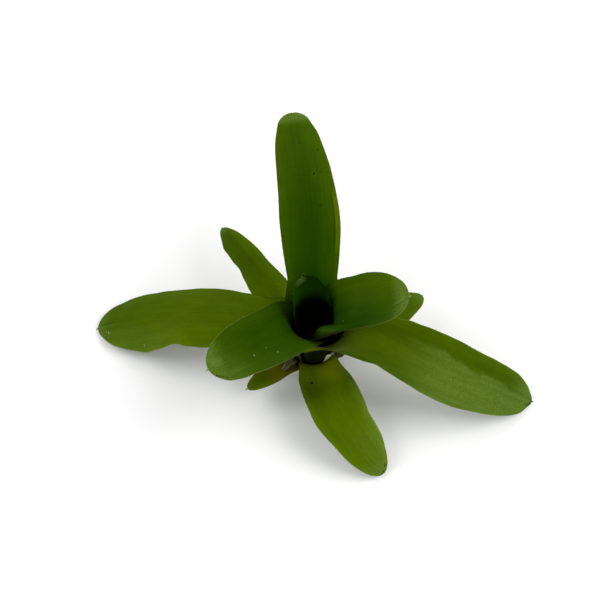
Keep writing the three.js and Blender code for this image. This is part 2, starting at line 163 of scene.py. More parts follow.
LEAVES = {
    "leaf_back_long": dict(
        layer=3, azimuth=91, wrap=(90, 90), neck_height=34,
        length=105.5, width=29, neck_width=21, widest=0.41, bluntness=3.1,
        rise=51, droop=8, sweep=13, roll=7, channel=0.034,
        edges=(
            (1, 93, 14, 0.9), (1, 102, 4, 1), (1, 50, 8, 0.4),
            (-1, 82, 13, -0.6), (-1, 92, 6, 0.3), (-1, 103, 4, 1.3), (-1, 50, 10, 0.6),
        ),
        groove=(0.5, 4), cup=0.3, curl=dict(start=33, end=62, width=2.6, height=0.8), spine=(1, 0.2),
        age=0.06, tone=0.89, ends=(-0.2, 0.4), deep_green="#073200",
        tints=((-1, 0.35), (-0.7, 0.1), (-0.1, -0.72), (0.25, -0.6), (0.6, 0), (1, 0.25)),
        cup_edge=(-3, 0, 0, 4), tip_bloom=(1.2, 8), crease=(3, 0.3, 0, 0.4, 0), rim=0.1,
        marks=(
            (71.6, -4.6, 0.55, "pit"), (72.2, -8, 0.4, "faint"), (55.8, -5.7, 0.65, "faint"),
            (88.3, 0, 0.4, "faint"), (83.7, -8.3, 0.35, "faint"), (21.9, 4.3, 0.5, "pit"),
            (28.5, -12.6, 0.35, "faint"),
        ),
    ),
    "leaf_left_long": dict(
        layer=4, azimuth=166.5, wrap=(82, 72), neck_height=29,
        length=118, width=34.5, neck_width=15.5, widest=0.47, bluntness=3.4,
        rise=-12, droop=-30, sweep=9, roll=-8, channel=0.018, fold=-0.02,
        edges=(
            (1, 114, 5, -1.2), (1, 83, 8, 1.3), (1, 66, 5, -1.6), (1, 56, 4, -0.8), (1, 46, 4, 0.6),
            (-1, 25, 5, 0.8),
        ),
        wave=dict(height=-1.6, length=44, start=82), groove=(0.45, 14), spine=(2.6, 0.9),
        age=0.95, tone=0.88, gloss=0.05, ends=(-0.35, -0.3), margin_brown_and_shadow=(0.9, 0.2),
        tints=((-1, 0.3), (-0.7, 0), (-0.1, -0.1), (0.3, 0), (0.8, 0.4), (1, 0.9)),
        cup_edge=(-6, 0, 0, 5), tip_bloom=(0.6, 9), crease=(16, -0.8, 0, 0.9, 0.3), rim=0.3,
        bloom=(0.45, 0.72, 0.35, (-1, 0, -0.35, 0.3)),
        marks=((109.9, 4.6, 0.3, "scar"), (86.5, 14.1, 0.25, "scar"), (111.5, 3.8, 0.2, "scar")),
    ),
    "leaf_right_long": dict(
        layer=4, azimuth=-21, wrap=(90, 30), collar=8, neck_height=36.5,
        length=121, width=33.5, neck_width=22.5, widest=0.45, bluntness=2.05,
        rise=-12, droop=-37.8, sweep=27.5, roll=30, channel=0.08, fold=0.02,
        edges=(
            (1, 119, 3, -1), (1, 105, 6, 0.6), (1, 79, 9, -0.7), (1, 38, 4, 0.5),
            (-1, 118, 3.5, -1.3), (-1, 64, 13, 1.2), (-1, 30, 5, 0.4), (-1, 21, 4, -0.6),
        ),
        groove=(0.6, 14), spine=(2.4, 0.9), age=0.72, tone=0.9, gloss=0.12, ends=(-0.05, -0.2),
        tints=((-1, 0), (-0.6, -0.05), (0, -0.1), (0.6, -0.2), (1, 0.6)),
        cup_edge=(8.6, -8, -17, 1.6), outer_edge=(-100.6, -279.9, -166.3, 4), neck=(1.8, 16),
        tip_bloom=(0.95, 20), crease=(22, -1.4, 0, 0.8, 0.2), rim=0.4,
        # Its wax patch on the front half stands largely for painted sheen, where that half faces the light.
        bloom=(0.28, 0.55, 0.81, (1, 0.75, 0.84, 0.07)),
        marks=(
            (10.3, -4, 0.45, "stain"), (12, -2.6, 0.3, "stain"), (8.6, -5.6, 0.35, "stain"),
            (119.4, -1.4, 0.45, "fold"), (118.3, -2.4, 0.5, "fold"), (116.9, -3, 0.45, "fold"),
            (120.6, 0, 0.5, "stain"), (13.6, -24.5, 1.5, "stain"), (15, -22.5, 1.3, "stain"),
        ),
    ),
    "leaf_front": dict(
        layer=5, azimuth=-75, wrap=(58, 58), neck_height=17, neck_length=8,
        length=71.5, width=27, neck_width=19, widest=0.27, bluntness=2.2,
        rise=20, droop=-50, sweep=45, roll=14.5, channel=0.011, fold=0.004,
        edges=(
            (1, 40, 5, -0.7), (1, 14, 8, -0.8), (1, 55, 5, 0.4),
            (-1, 33, 6, 0.8), (-1, 10, 4, 0.9), (-1, 46, 5, -0.4),
        ),
        groove=(0.3, 6), spine=(1, 0.7), age=0.82, tone=1,
        tints=((-1, 0.5), (-0.7, -0.05), (0, 0.05), (0.65, 0.35), (1, 1.5)),
        # Its neck is lifted by painted light, and its marks paint shade left of the neck and light on its
        # right, where the leaves above shade it.
        cup_edge=(0.8, -3, -5, 1.2), neck=(3.2, 26), tip_bloom=(0.75, 15), rim=0.35,
        bloom=(0.5, 0.8, 0.47, (-1, 0, 0.2, 0.7)),
        marks=(
            (12, -9, 4.5, "shade"), (13.7, -7, 0.55, "pit"), (18.9, -7.6, 2.2, "shade"),
            (8, 6.5, 4, "light"), (1, 5, 3.5, "light"), (68.5, 2.8, 0.5, "stain"), (71.2, 0, 0.7, "stain"),
        ),
    ),
    "leaf_front_left_broad": dict(
        layer=2, azimuth=221.5, wrap=(95, 92), neck_height=41, neck_length=20,
        length=58, width=32, neck_width=30, widest=0.47, bluntness=2.6,
        rise=31, droop=-2, sweep=-15, roll=5, channel=0.033, fold=0.017,
        edges=((1, 52, 2.5, 0.7), (1, 42, 4, -0.6), (1, 21, 5, 0.9)),
        groove=(0.5, 4), cup=0.8, spine=(2.4, 0.1),
        age=0.2, tone=0.85, gloss=0.06, ends=(-0.35, 0.45), margin_brown_and_shadow=(0.7, 0.6),
        tints=((-1, 0.05), (-0.5, -0.2), (0, -0.15), (0.5, 0.1), (1, 0.1)),
        cup_edge=(-2.5, 5, 9, 2), neck=(1.7, 14), tip_bloom=(0.95, 13), crease=(4, 0, 0, 0.4, 0), rim=0.28,
        bloom=(0.62, 0.9, 0.42, (-1, 0, 0.1, 0.4)),
        marks=(
            (36.4, 4, 0.22, "scar"), (26.4, 8.3, 0.2, "scar"), (29, 2.8, 0.12, "scar"),
            (56, 5.6, 0.4, "stain"), (55, 6.6, 0.4, "stain"), (53.8, 7.6, 0.35, "stain"),
            (52.5, 8.6, 0.3, "stain"), (53.6, -2, 1.1, "wax"),
        ),
    ),
    "leaf_right_broad": dict(
        layer=1, azimuth=-6, wrap=(92, 100), collar=10, lip=4, lip_crest=4.5, neck_height=45,
        length=47.5, width=32.5, neck_width=23, widest=0.52, bluntness=2.15,
        rise=28, droop=27, sweep=4, channel=0.06, fold=0.02,
        edges=((-1, 16, 5.5, -6), (-1, 22, 6, -3.2), (-1, 32, 3, 0.8)),
        groove=(0.9, 4.5), cup=1, spine=(1.4, 0),
        age=0.1, tone=0.9, gloss=0.1, ends=(-0.1, 0.5), margin_brown_and_shadow=(0.6, 0.3),
        tints=((-1, -0.25), (-0.75, -0.45), (-0.35, -0.25), (0, -0.05), (0.5, 0.15), (1, 0.5)),
        cup_edge=(-1, 0, 13, 4), outer_edge=(24, 0, 0, 4), neck=(1.15, 10),
        tip_bloom=(1.3, 10), crease=(9, 0, 0.45, 0.8, 0.7), rim=0.1,
        marks=(
            # The marks along its clockwise margin are painted shade, in the pocket under its lip.
            (15.2, -7.2, 0.14, "scar"), (8.5, -20.2, 2.2, "pocket_shade"), (11.5, -21.3, 2.2, "pocket_shade"),
            (14.5, -21.6, 2.2, "pocket_shade"), (17.5, -21, 1.7, "pocket_shade"), (20, -20.2, 1, "pocket_shade"),
        ),
    ),
    "leaf_back_left_narrow": dict(
        layer=6, azimuth=130, wrap=(45, 45), neck_height=17,
        length=77.5, width=18.5, neck_width=15, widest=0.35, bluntness=1.65,
        rise=34, droop=-20, sweep=-10, roll=-6, channel=0.027, fold=0.006,
        edges=((1, 63, 4, 0.8), (1, 47, 4, -0.9), (1, 33, 5, 1), (-1, 41, 9, -0.9)),
        groove=(0.3, 8), spine=(1.6, 0.9),
        age=0.55, tone=0.92, gloss=0.08, tints=((-1, 1), (-0.4, 0.5), (0, 0), (1, 0.2)),
        cup_edge=(-6, 0, 0, 5), neck=(2.9, 52), tip_bloom=(1, 6),
    ),
    "leaf_right_narrow": dict(
        layer=6, azimuth=20, wrap=(42, 42), neck_height=16,
        length=59.5, width=20.5, neck_width=12, widest=0.48, bluntness=1.5,
        rise=6, droop=-16, sweep=19, roll=4, channel=0.028, fold=0.004,
        edges=((-1, 43, 4, 0.6),), groove=(0.3, 6), spine=(1.4, 0.8),
        age=0.55, tone=0.95, gloss=0.15, ends=(0, 0.3), tints=((-1, 0.3), (0, -0.1), (1, 0.3)),
        cup_edge=(0, 0, 0, 4), tip_bloom=(0.6, 8), rim=0.3,
    ),
    "leaf_front_left_small": dict(
        layer=6, azimuth=217.5, wrap=(34, 34), neck_height=14, neck_length=12,
        length=33, width=12.5, neck_width=12, widest=0.46, bluntness=1.55,
        rise=9, droop=-31, sweep=-18, channel=0.029, fold=0.007, groove=(0.2, 3), spine=(2.2, 0.1),
        age=0.85, tone=0.48, gloss=0.06, ends=(-0.1, 0.4), tints=((-1, 0), (0.3, 0), (1, 0.9)),
        cup_edge=(3, 0, 0, 3), neck=(1, 30), tip_bloom=(0.3, 5), rim=0.4, marks=((12, 0.6, 4.6, "rust"),),
    ),
    "leaf_inner_spoon": dict(
        layer=0, azimuth=111, wrap=(100, 100), neck_height=46, neck_length=14,
        length=20, width=26.5, neck_width=22.5, widest=0.34, bluntness=2.1,
        rise=83, droop=70, sweep=0, roll=5, channel=0.09, fold=0.06,
        edges=((-1, 17, 3, -0.5),), groove=(0.2, 3), spine=(0.8, 0.9),
        # Its right half is painted in deep shade, the shade inside the cup, by its tints and its deep green.
        age=0, tone=1, gloss=0.03, deep_green="#001101",
        tints=((-1, -1), (0.1, -1), (0.7, -0.05), (1, 0.1)),
        cup_edge=(7.5, 0, 0, 5.5), tip_bloom=(0, 4), marks=((18.6, 0.6, 0.7, "wax"), (18.4, 3, 0.8, "wax")),
    ),
}

# Kinds of mark: colour, strength, how far they blur in radii, and the strength of a pale halo.
MARKS = {
    "pit": ("#020401", 1, 1.6, 0.3),
    # The next kind is painted shade, in the pocket under a flared lip.
    "pocket_shade": ("#020401", 0.9, 2, 0),
    "faint": ("#152802", 0.6, 2.2, 0),
    # shade and light are painted shade and painted light: shade where leaves above shade a leaf, light where
    # that shade is lifted.
    "shade": ("#152802", 0.45, 4, 0),
    "light": ("#7d8a0c", 0.75, 2.6, 0),
    # fold is painted shade, in a fold before the tip.
    "fold": ("#1c3302", 0.75, 2, 0),
    "scar": ("#a3b28c", 0.7, 1.8, 0),
    "stain": ("#3a2a08", 0.75, 2.2, 0),
    "rust": ("#5c5208", 0.5, 2.2, 0),
    # wax is wax bloom, partly a painted highlight where a tip catches the light.
    "wax": ("#6b8a3c", 0.22, 3.6, 0),
}
HALO_RADII = 2.8

# Half the width of a fold's line before the tip, and how far the light line is from the dark one.
CREASE_HALF = 0.35
CREASE_APART = 0.7

# Where the brown of the low margins fades and where the pale rim comes in, along, and how wide each is.
BROWN_FADE = (14, 34)
BROWN_WIDTH = (0.25, 0.7)
RIM_START = 8
RIM_WIDTH = (0.05, 0.3)

# Dry scales and torn ends of old sheaths. A sheet is its rows in sheath and blade, its columns, its
# thickness, the one at the margin, and the relief of its pleats.
SCALE_SHEET = ((8, 26), 22, 0.55, 0.35, 0.08)
TORN_SHEET = ((8, 22), 18, 0.2, 0.15, 0.04)
DRY_SCALE = dict(
    PLAIN_LEAF, layer=7.1, foot=9.7, wrap=(24, 24), neck_height=12.5, neck_length=5, neck_width=6.5,
    widest=0.3, bluntness=1.6, channel=0.05, fold=0.03, groove=(0, 1),
)
SCALES = {
    "scale_front_left": dict(azimuth=256, length=9, width=7, rise=45, droop=5, sweep=25),
    "scale_right": dict(azimuth=-12, length=8, width=6.5, rise=50, droop=20, sweep=-15),
    "scale_back": dict(azimuth=88, length=7, width=7, rise=55, droop=30, sweep=10),
}
TORN_SHEATHS = {
    "torn_sheath_left": dict(
        paper="#45431a", layer=5.5, foot=11, neck_height=18.8, wrap=(20, 6), neck_width=4.5,
        azimuth=221, length=11.5, width=5, rise=28, droop=-24, sweep=18,
    ),
    "torn_sheath_right": dict(
        paper="#dcd8c0", layer=4.75, foot=20, neck_height=30.7, wrap=(11, 12), neck_width=4,
        azimuth=-51, length=4.2, width=3.8, rise=60, droop=20, sweep=-30,
    ),
}
BLEACHED_PAPER = "#d8cfae"
PALE_CORK = "#b3a67c"

# The stem. The profile of a ring scar is (height from its middle, share of its depth).
CUT_RADIUS = 6.8
CUT_EDGE = 0.6
STEM_RADIUS = 8.1
STEM_SHOULDER = 9.3
STEM_UNEVEN = 0.045
STEM_SIDES = 96
STEM_SMOOTH = math.radians(40)
STAIN_RISE = 3
CUT_BEVEL = (0.3, 0.15)
SHOULDER_BEVEL = (0.3, 0.2)
SCAR_HEIGHTS = (3.1, 5.6, 7.6)
SCAR_DEPTH = 0.25
SCAR_PROFILE = ((-1.1, 0), (-0.3, -0.08), (-0.12, 0.6), (0.1, 1), (0.3, 0.2), (0.9, 0))
SHEATH_THICK = 0.8
SEAT_GAP = 0.3
APEX_ROUNDING = 1.5
APEX_RADIUS = 2.6

# The heart leaf: its girth is (1 - up ** taper) * (foot + belly * up * (1 - up)) of the radius.
HEART_HEIGHT = 17
HEART_RADIUS = 2.3
HEART_SHRINK = 0.92
HEART_TAPER = 1.8
HEART_FOOT = 0.85
HEART_BELLY = 0.6
HEART_RINGS = 34
HEART_SIDES = 48
HEART_SMOOTH = math.radians(50)
HEART_POINT = 0.06
HEART_TURNS = 0.9
HEART_SEAM = 0.1
HEART_LEAF = dict(
    PLAIN_LEAF, length=HEART_HEIGHT, age=0, tone=0.5, tints=((-1, 0), (1, 0)), cup_edge=(-40, 0, 0, 5),
    tip_bloom=(0.1, 4),
)

# The stage. The floor's gap, the view's centre, the sensor and the lens are in millimetres, the softboxes
# and the nearest distance that the camera sees in metres.
FLOOR_GAP = 0.02
VIEW_CENTRE = (-6.5, 15, 40)
SOFTBOX_SIZE = 1.1
SOFTBOXES = {"right": (1.15, -0.1, 1.2), "left": (-1.15, 0.15, 1.2)}
SENSOR_WIDTH = 36
LENS = 62.4
NEAREST = 0.01


def linear(hex_colour):
    """A linear RGB triple from an sRGB hex colour."""
    channels = [int(hex_colour[i : i + 2], 16) / 255 for i in (1, 3, 5)]
    return tuple(c / 12.92 if c <= 0.04045 else ((c + 0.055) / 1.055) ** 2.4 for c in channels)


def colour_property(name, hex_colour, description):
    return bpy.props.FloatVectorProperty(
        name=name, description=description, subtype="COLOR", size=3, min=0, max=1, default=linear(hex_colour)
    )


def length_property(name, millimetres, description):
    return bpy.props.FloatProperty(
        name=name, description=description, subtype="DISTANCE", unit="LENGTH", min=0,
        default=millimetres * MM,
    )


class NEOREGELIA_PG_leaf(bpy.types.PropertyGroup):
    """Sizes and colours of the living leaves."""

    blade_thickness: length_property("Blade thickness", 0.9, "Thickness along the midrib")
    margin_thickness: length_property("Margin thickness", 0.32, "Thickness just inside the margin")
    tooth_height: length_property("Tooth height", 0.36, "How far a marginal tooth stands out")
    tooth_spacing: length_property("Tooth spacing", 3.1, "From one marginal tooth to the next")
    vein_spacing: length_property("Vein spacing", 0.9, "From one long vein to the next")
    pleat_height: length_property("Pleat height", 0.015, "Relief of the long pleats")
    young_green: colour_property("Young green", "#1e4000", "Upper face of the youngest leaves")
    mature_green: colour_property("Mature green", "#4b6300", "Upper face of the oldest leaves")
    light_green: colour_property("Light green", "#5b7504", "Towards the margins of the older leaves")
    neck_olive: colour_property("Neck olive", "#4c4a06", "Where a blade leaves its sheath")
    # Sheath dark: the sheaths' own dark colour, deepened into painted shade down in the cup.
    cup_shade_dark: colour_property("Sheath dark", "#060702", "Inner face of the sheaths, stained by water")
    # Sheath brown: the sheaths' own brown, dark enough to stand also for painted shade in the pockets.
    sheath_brown: colour_property("Sheath brown", "#0d0a06", "Outer face of the sheaths")
    foot_tan: colour_property("Foot tan", "#7d6a42", "Foot of the sheaths")
    # Bloom green is also the colour of painted sheen and painted highlights.
    bloom_and_sheen_green: colour_property("Bloom green", "#627e30", "Waxy bloom")
    # Margin pale: paler tissue, and painted light showing through the thin margin.
    margin_pale: colour_property("Margin pale", "#9caa6b", "Thin margin that lets light through")
    under_green: colour_property("Under green", "#5d7434", "Underside")
    scurf_grey: colour_property("Scurf grey", "#a9b190", "Minute scales on the underside")
    spine_brown: colour_property("Spine brown", "#2c2410", "Ends of the teeth and spines")


class NEOREGELIA_PG_base(bpy.types.PropertyGroup):
    """Colours of the stem and the dry scales."""

    cork_brown: colour_property("Cork brown", "#6f6241", "Corky side of the stem")
    cut_cream: colour_property("Cut cream", "#c9bd93", "Dried cut under the stem")
    stem_stain: colour_property("Stem stain", "#0d0a06", "Stem between the sheaths")
    paper_brown: colour_property("Paper brown", "#8b7a52", "Dry scale leaves")


class NEOREGELIA_PG_stage(bpy.types.PropertyGroup):
    """Floor, lights and camera."""

    floor_size: bpy.props.FloatProperty(
        name="Floor size", description="Side of the pale floor", subtype="DISTANCE", unit="LENGTH", default=8
    )
    floor_white: colour_property("Floor white", "#fefefe", "Pale matt floor")
    right_power: bpy.props.FloatProperty(
        name="Right power", description="Power of the softbox on the right",
        subtype="POWER", unit="POWER", default=14.5,
    )
    left_power: bpy.props.FloatProperty(
        name="Left power", description="Power of the softbox on the left",
        subtype="POWER", unit="POWER", default=9.5,
    )
    room_light: bpy.props.FloatProperty(
        name="Room light", description="Strength of the even light all round", min=0, default=0.6
    )
    camera_distance: bpy.props.FloatProperty(
        name="Camera distance", description="From the camera to the middle of the plant",
        subtype="DISTANCE", unit="LENGTH", default=0.52,
    )
    camera_height: bpy.props.FloatProperty(
        name="Camera height", description="Angle of the camera above the floor",
        subtype="ANGLE", unit="ROTATION", default=math.radians(59),
    )


# --- the form of a leaf -------------------------------------------------------------------------


def ease(value, low, high):
    """0 below low, 1 above high and smooth between them."""
    share = np.clip((value - low) / (high - low), 0, 1)
    return share * share * (3 - 2 * share)


def layer_foot(layer):
    return OLDEST_FOOT + FOOT_STEP * (OLDEST_LAYER - layer)


def foot_height(leaf):
    return layer_foot(leaf["layer"]) if leaf["foot"] is None else leaf["foot"]


def funnel_drop(height):
    return FUNNEL_NARROWING * np.exp((OLDEST_FOOT - height) / FUNNEL_FADE)


def layer_radius(layer, height):
    return FUNNEL_RADIUS - funnel_drop(height) + LAYER_PITCH * layer


def wall_slope(height):
    return np.arctan2(1, funnel_drop(height) / FUNNEL_FADE)


def direction(slope, heading):
    level = np.cos(slope)
    return np.stack([level * np.cos(heading), level * np.sin(heading), np.sin(slope)], -1)


def midline(leaf, sheath_rows, blade_rows):
    """Distance along (negative in the sheath), place, slope and heading at each row, foot to tip."""
    azimuth = math.radians(leaf["azimuth"])
    outward = np.array([math.cos(azimuth), math.sin(azimuth), 0])
    neck_height, length = leaf["neck_height"], leaf["length"]
    heights = np.linspace(foot_height(leaf), neck_height, sheath_rows, endpoint=False)
    on_wall = lambda height: layer_radius(leaf["layer"], height)[..., None] * outward + (
        np.asarray(height)[..., None] * np.array([0, 0, 1])
    )
    neck = on_wall(np.float64(neck_height))
    sheath = on_wall(heights)

    rise, droop = math.radians(leaf["rise"]), math.radians(leaf["droop"])
    slope_at = lambda x: (
        wall_slope(neck_height) + (rise - wall_slope(neck_height)) * ease(x, 0, leaf["neck_length"])
        + (droop - rise) * x / length
    )
    heading_at = lambda x: azimuth + math.radians(leaf["sweep"]) * (x / length) ** SWEEP_GROWTH
    fine = np.linspace(0, length, MIDLINE_STEPS)
    middles = (fine[1:] + fine[:-1]) / 2
    steps = direction(slope_at(middles), heading_at(middles)) * np.diff(fine)[:, None]
    path = neck + np.vstack([np.zeros(3), np.cumsum(steps, 0)])
    x = length * (1 - (1 - np.linspace(0, 1, blade_rows + 1)) ** TIP_CROWDING)
    blade = np.stack([np.interp(x, fine, path[:, k]) for k in range(3)], -1)
    return (
        np.concatenate([-np.linalg.norm(sheath - neck, axis=1), x]),
        np.vstack([sheath, blade]),
        np.concatenate([wall_slope(heights), slope_at(x)]),
        np.concatenate([np.full(sheath_rows, azimuth), heading_at(x)]),
    )


def half_breadth(leaf, x, radius, v):
    """Half the breadth: the sheath's arc, easing into the blade's outline."""
    along = np.maximum(0, x / leaf["length"])
    half, widest = leaf["width"] / 2, leaf["widest"]
    beyond = np.maximum(0, (along - widest) / (1 - widest))
    narrowing = half * np.sqrt(np.maximum(0, 1 - beyond ** leaf["bluntness"]))
    neck = leaf["neck_width"] / 2
    widening = neck + (half - neck) * ease(along, 0, widest)
    blade = np.where(along < widest, widening, np.maximum(TIP_HALF_WIDTH, narrowing))
    for side, at, spread, amount in leaf["edges"]:
        blade = blade + np.where(v * side > 0, amount, 0) * np.exp(-(((x - at) / spread) ** 2))
    late = np.where(v < 0, leaf["collar"], 0)
    sheath = np.radians(np.where(v < 0, *leaf["wrap"])) * radius
    return sheath + (blade - sheath) * ease(x, late - MARGIN_OPENING, late + leaf["neck_length"])


def ripple(x, wavelength, phase):
    """A slow uneven swell from -1 to 1."""
    turn = 2 * math.pi * x / wavelength
    return 0.6 * np.sin(turn + phase) + 0.4 * np.sin(1.7 * turn + 2.3 * phase + 1)


def leaf_surface(leaf, rows, columns, relief):
    """The middle surface of a leaf as rows x columns points, with its place along and across."""
    sheath_rows, blade_rows = rows
    x, point, slope, heading = (a[:, None] for a in midline(leaf, sheath_rows, blade_rows))
    even = np.linspace(-1, 1, columns + 1)[None, :]
    v = even * (1.35 - 0.35 * even * even)  # narrower columns towards the margins
    radius = np.hypot(point[..., 0], point[..., 1])
    half = half_breadth(leaf, x, radius, v)
    arc = v * half
    turn = np.arctan2(point[..., 1], point[..., 0]) + arc / radius
    height = np.broadcast_to(point[..., 2], arc.shape)
    in_sheath = np.stack([radius * np.cos(turn), radius * np.sin(turn), height], -1)

    sideways = np.stack([-np.sin(heading), np.cos(heading), np.zeros_like(heading)], -1)
    upward = np.cross(direction(slope, heading), sideways)
    along = np.maximum(0, x / leaf["length"])
    twist = np.radians(leaf["roll"]) * along[..., None]
    side = sideways * np.cos(twist) + upward * np.sin(twist)
    up = upward * np.cos(twist) - sideways * np.sin(twist)
    curvature = leaf["channel"] * np.exp(-np.maximum(0, x) / CHANNEL_FADE) + leaf["fold"] + NEARLY_FLAT
    lift = (1 - np.cos(curvature * arc)) / curvature + wave_lift(leaf, x, v)
    lift = lift + relief_lift(leaf, x, v, arc, half, relief)
    in_blade = point + side * (np.sin(curvature * arc) / curvature)[..., None] + up * lift[..., None]

    outward = np.stack([np.cos(turn), np.sin(turn), np.zeros_like(turn)], -1)
    share = ease(x, 0, NECK_UNROLLING * leaf["neck_length"])[..., None]
    surface = in_sheath + (in_blade - in_sheath) * share + lip_shift(leaf, x, v, outward)
    return surface, np.broadcast_to(x, arc.shape), arc, half, np.broadcast_to(v, arc.shape)


def lip_shift(leaf, x, v, outward):
    """How a collar's clockwise margin flares out over the neck, from a crest just inside it."""
    ending = ease(leaf["neck_length"] - x, 0, LIP_END)
    flare = leaf["lip"] * ease(-v, LIP_FOLD, 1) * (ease(x, *LIP_START) * ending)
    crest = leaf["lip_crest"] * ease(-v, *CREST_FOLD) * ease(1 + v, 0, CREST_MARGIN)
    crest = crest * ease(x, *CREST_START) * ending
    return outward * (flare - CREST_INWARD * crest)[..., None] + crest[..., None] * np.array([0, 0, 1])


def wave_lift(leaf, x, v):
    """How far the anticlockwise margin lifts where the leaf has a wavy edge."""
    wave = leaf["wave"]
    if not wave:
        return 0
    along = x / leaf["length"]
    fade = ease(along, *WAVE_START) * ease(1 - along, 0, WAVE_END)
    phase = 2 * math.pi * (x - wave["start"]) / wave["length"]
    return wave["height"] * np.maximum(v, 0) ** 2 * np.sin(phase) * fade


def relief_lift(leaf, x, v, arc, half, relief):
    """Fine relief: long pleats, slow swells, a groove and a cupped end at the tip, and a curled margin."""
    phase = leaf["azimuth"] * 0.37
    from_tip = leaf["length"] - x
    on_blade = ease(x, *(leaf["neck_length"] * lengths for lengths in RELIEF_START))
    wander, wander_length = PLEAT_WANDER
    pleats = relief * np.cos(2 * math.pi * arc / PLEAT_SPACING + wander * ripple(x, wander_length, phase))
    swell, swell_length = BLADE_SWELL
    swells = swell * ripple(x, swell_length, phase) * v
    swell, swell_length = MARGIN_SWELL
    swells = swells + swell * ripple(x, swell_length, 2 * phase) * np.abs(v) ** 3
    lift = on_blade * (pleats + swells * ease(from_tip, 0, SWELL_END))
    depth, reach = leaf["groove"]
    lift = lift - depth * np.exp(-((arc / GROOVE_HALF_WIDTH) ** 2)) * ease(-from_tip, -reach, -0.2 * reach)
    lift = lift + leaf["cup"] * ease(-from_tip, -CUP_REACH, 2)
    curl = leaf["curl"]
    if curl:
        strip = ease(x, curl["start"], curl["start"] + CURL_START) * ease(curl["end"] - x, 0, CURL_END)
        inside = half - np.abs(arc)
        curled = curl["height"] * ease(curl["width"] - inside, 0, 0.8 * curl["width"])
        lift = lift + curled * strip * (v < 0)
    return lift


# --- meshes -------------------------------------------------------------------------------------


def deselect_all():
    if bpy.context.object and bpy.context.object.mode != "OBJECT":
        bpy.ops.object.mode_set(mode="OBJECT")
    bpy.ops.object.select_all(action="DESELECT")


def make_active(piece):
    deselect_all()
    piece.select_set(True)
    bpy.context.view_layer.objects.active = piece


def read_places(mesh):
    places = np.zeros(3 * len(mesh.vertices))
    mesh.vertices.foreach_get("co", places)
    return places.reshape(-1, 3)


def write_places(mesh, places):
    mesh.vertices.foreach_set("co", np.asarray(places, np.float32).ravel())
    mesh.update()


def write_attribute(mesh, name, vectors):
    attribute = mesh.attributes.get(name) or mesh.attributes.new(name, "FLOAT_VECTOR", "POINT")
    attribute.data.foreach_set("vector", np.asarray(vectors, np.float32).ravel())


def hand_over(piece, node, slot, *materials):
    """Gives a finished piece its materials and its body, and hides the solid that it stands for, if any; its
    slot is not used.
    """
    piece.data.materials.clear()
    for material in materials:
        piece.data.materials.append(material)
    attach(piece, BODY)
    if node:
        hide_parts(node)


def blade_piece(name, leaf, rows, columns, thickness, margin, relief):
    """A leaf blade with its sheath, as one thin closed sheet that tapers to its margins."""
    deselect_all()
    bpy.ops.mesh.primitive_grid_add(x_subdivisions=columns, y_subdivisions=sum(rows), size=1)
    piece = bpy.context.object
    piece.name = piece.data.name = name
    surface, x, arc, half, v = leaf_surface(leaf, rows, columns, relief)
    flat = read_places(piece.data)
    column = np.rint((0.5 - flat[:, 0]) * columns).astype(int)
    row = np.rint((flat[:, 1] + 0.5) * sum(rows)).astype(int)
    write_places(piece.data, surface[row, column] * MM)

    length = leaf["length"]
    share = np.where(x < 0, -x / x.min(), x / length)
    to_margin = np.minimum(half - np.abs(arc), length - x + TIP_MARGIN)
    write_attribute(piece.data, "blade_mm", np.stack([arc, x, to_margin], -1)[row, column])
    write_attribute(piece.data, "blade_share", np.stack([v, share, 0 * v], -1)[row, column])

    full = margin + (thickness - margin) * ease(to_margin, 0, MARGIN_TAPER)
    rounding = np.sqrt(1 - np.clip(1 - to_margin / MARGIN_ROUNDING, 0, 1) ** 2)
    weight = (full / thickness * rounding)[row, column]
    group = piece.vertex_groups.new(name="thickness")
    for index, value in enumerate(np.clip(weight, 0, 1)):
        group.add([index], float(value), "REPLACE")
    shell = piece.modifiers.new("shell", "SOLIDIFY")
    shell.thickness = thickness * MM
    shell.offset = 0
    shell.vertex_group = group.name
    shell.thickness_vertex_group = THINNEST
    shell.material_offset = 1
    make_active(piece)
    bpy.ops.object.modifier_apply(modifier=shell.name)
    bpy.ops.object.shade_smooth()
    return piece, (surface, x, arc, v, share)


def hook_mesh():
    """A short curved thorn, one unit long and wide, that leans along +Y and points along +X."""
    deselect_all()
    bpy.ops.mesh.primitive_circle_add(
        vertices=HOOK_SIDES, radius=0.5, fill_type="NGON", rotation=(0, math.pi / 2, 0)
    )
    bpy.ops.object.mode_set(mode="EDIT")
    for step, shrink, lean in HOOK_STEPS:
        bpy.ops.mesh.extrude_region_move(TRANSFORM_OT_translate={"value": (step, lean, 0)})
        bpy.ops.transform.resize(value=(1, shrink, shrink))
    bpy.ops.mesh.select_all(action="SELECT")
    bpy.ops.mesh.normals_make_consistent(inside=False)
    bpy.ops.object.mode_set(mode="OBJECT")
    hook = bpy.context.object
    bpy.ops.object.transform_apply(location=True, rotation=True, scale=True)
    return hook


def unit(vector):
    return vector / np.linalg.norm(vector)


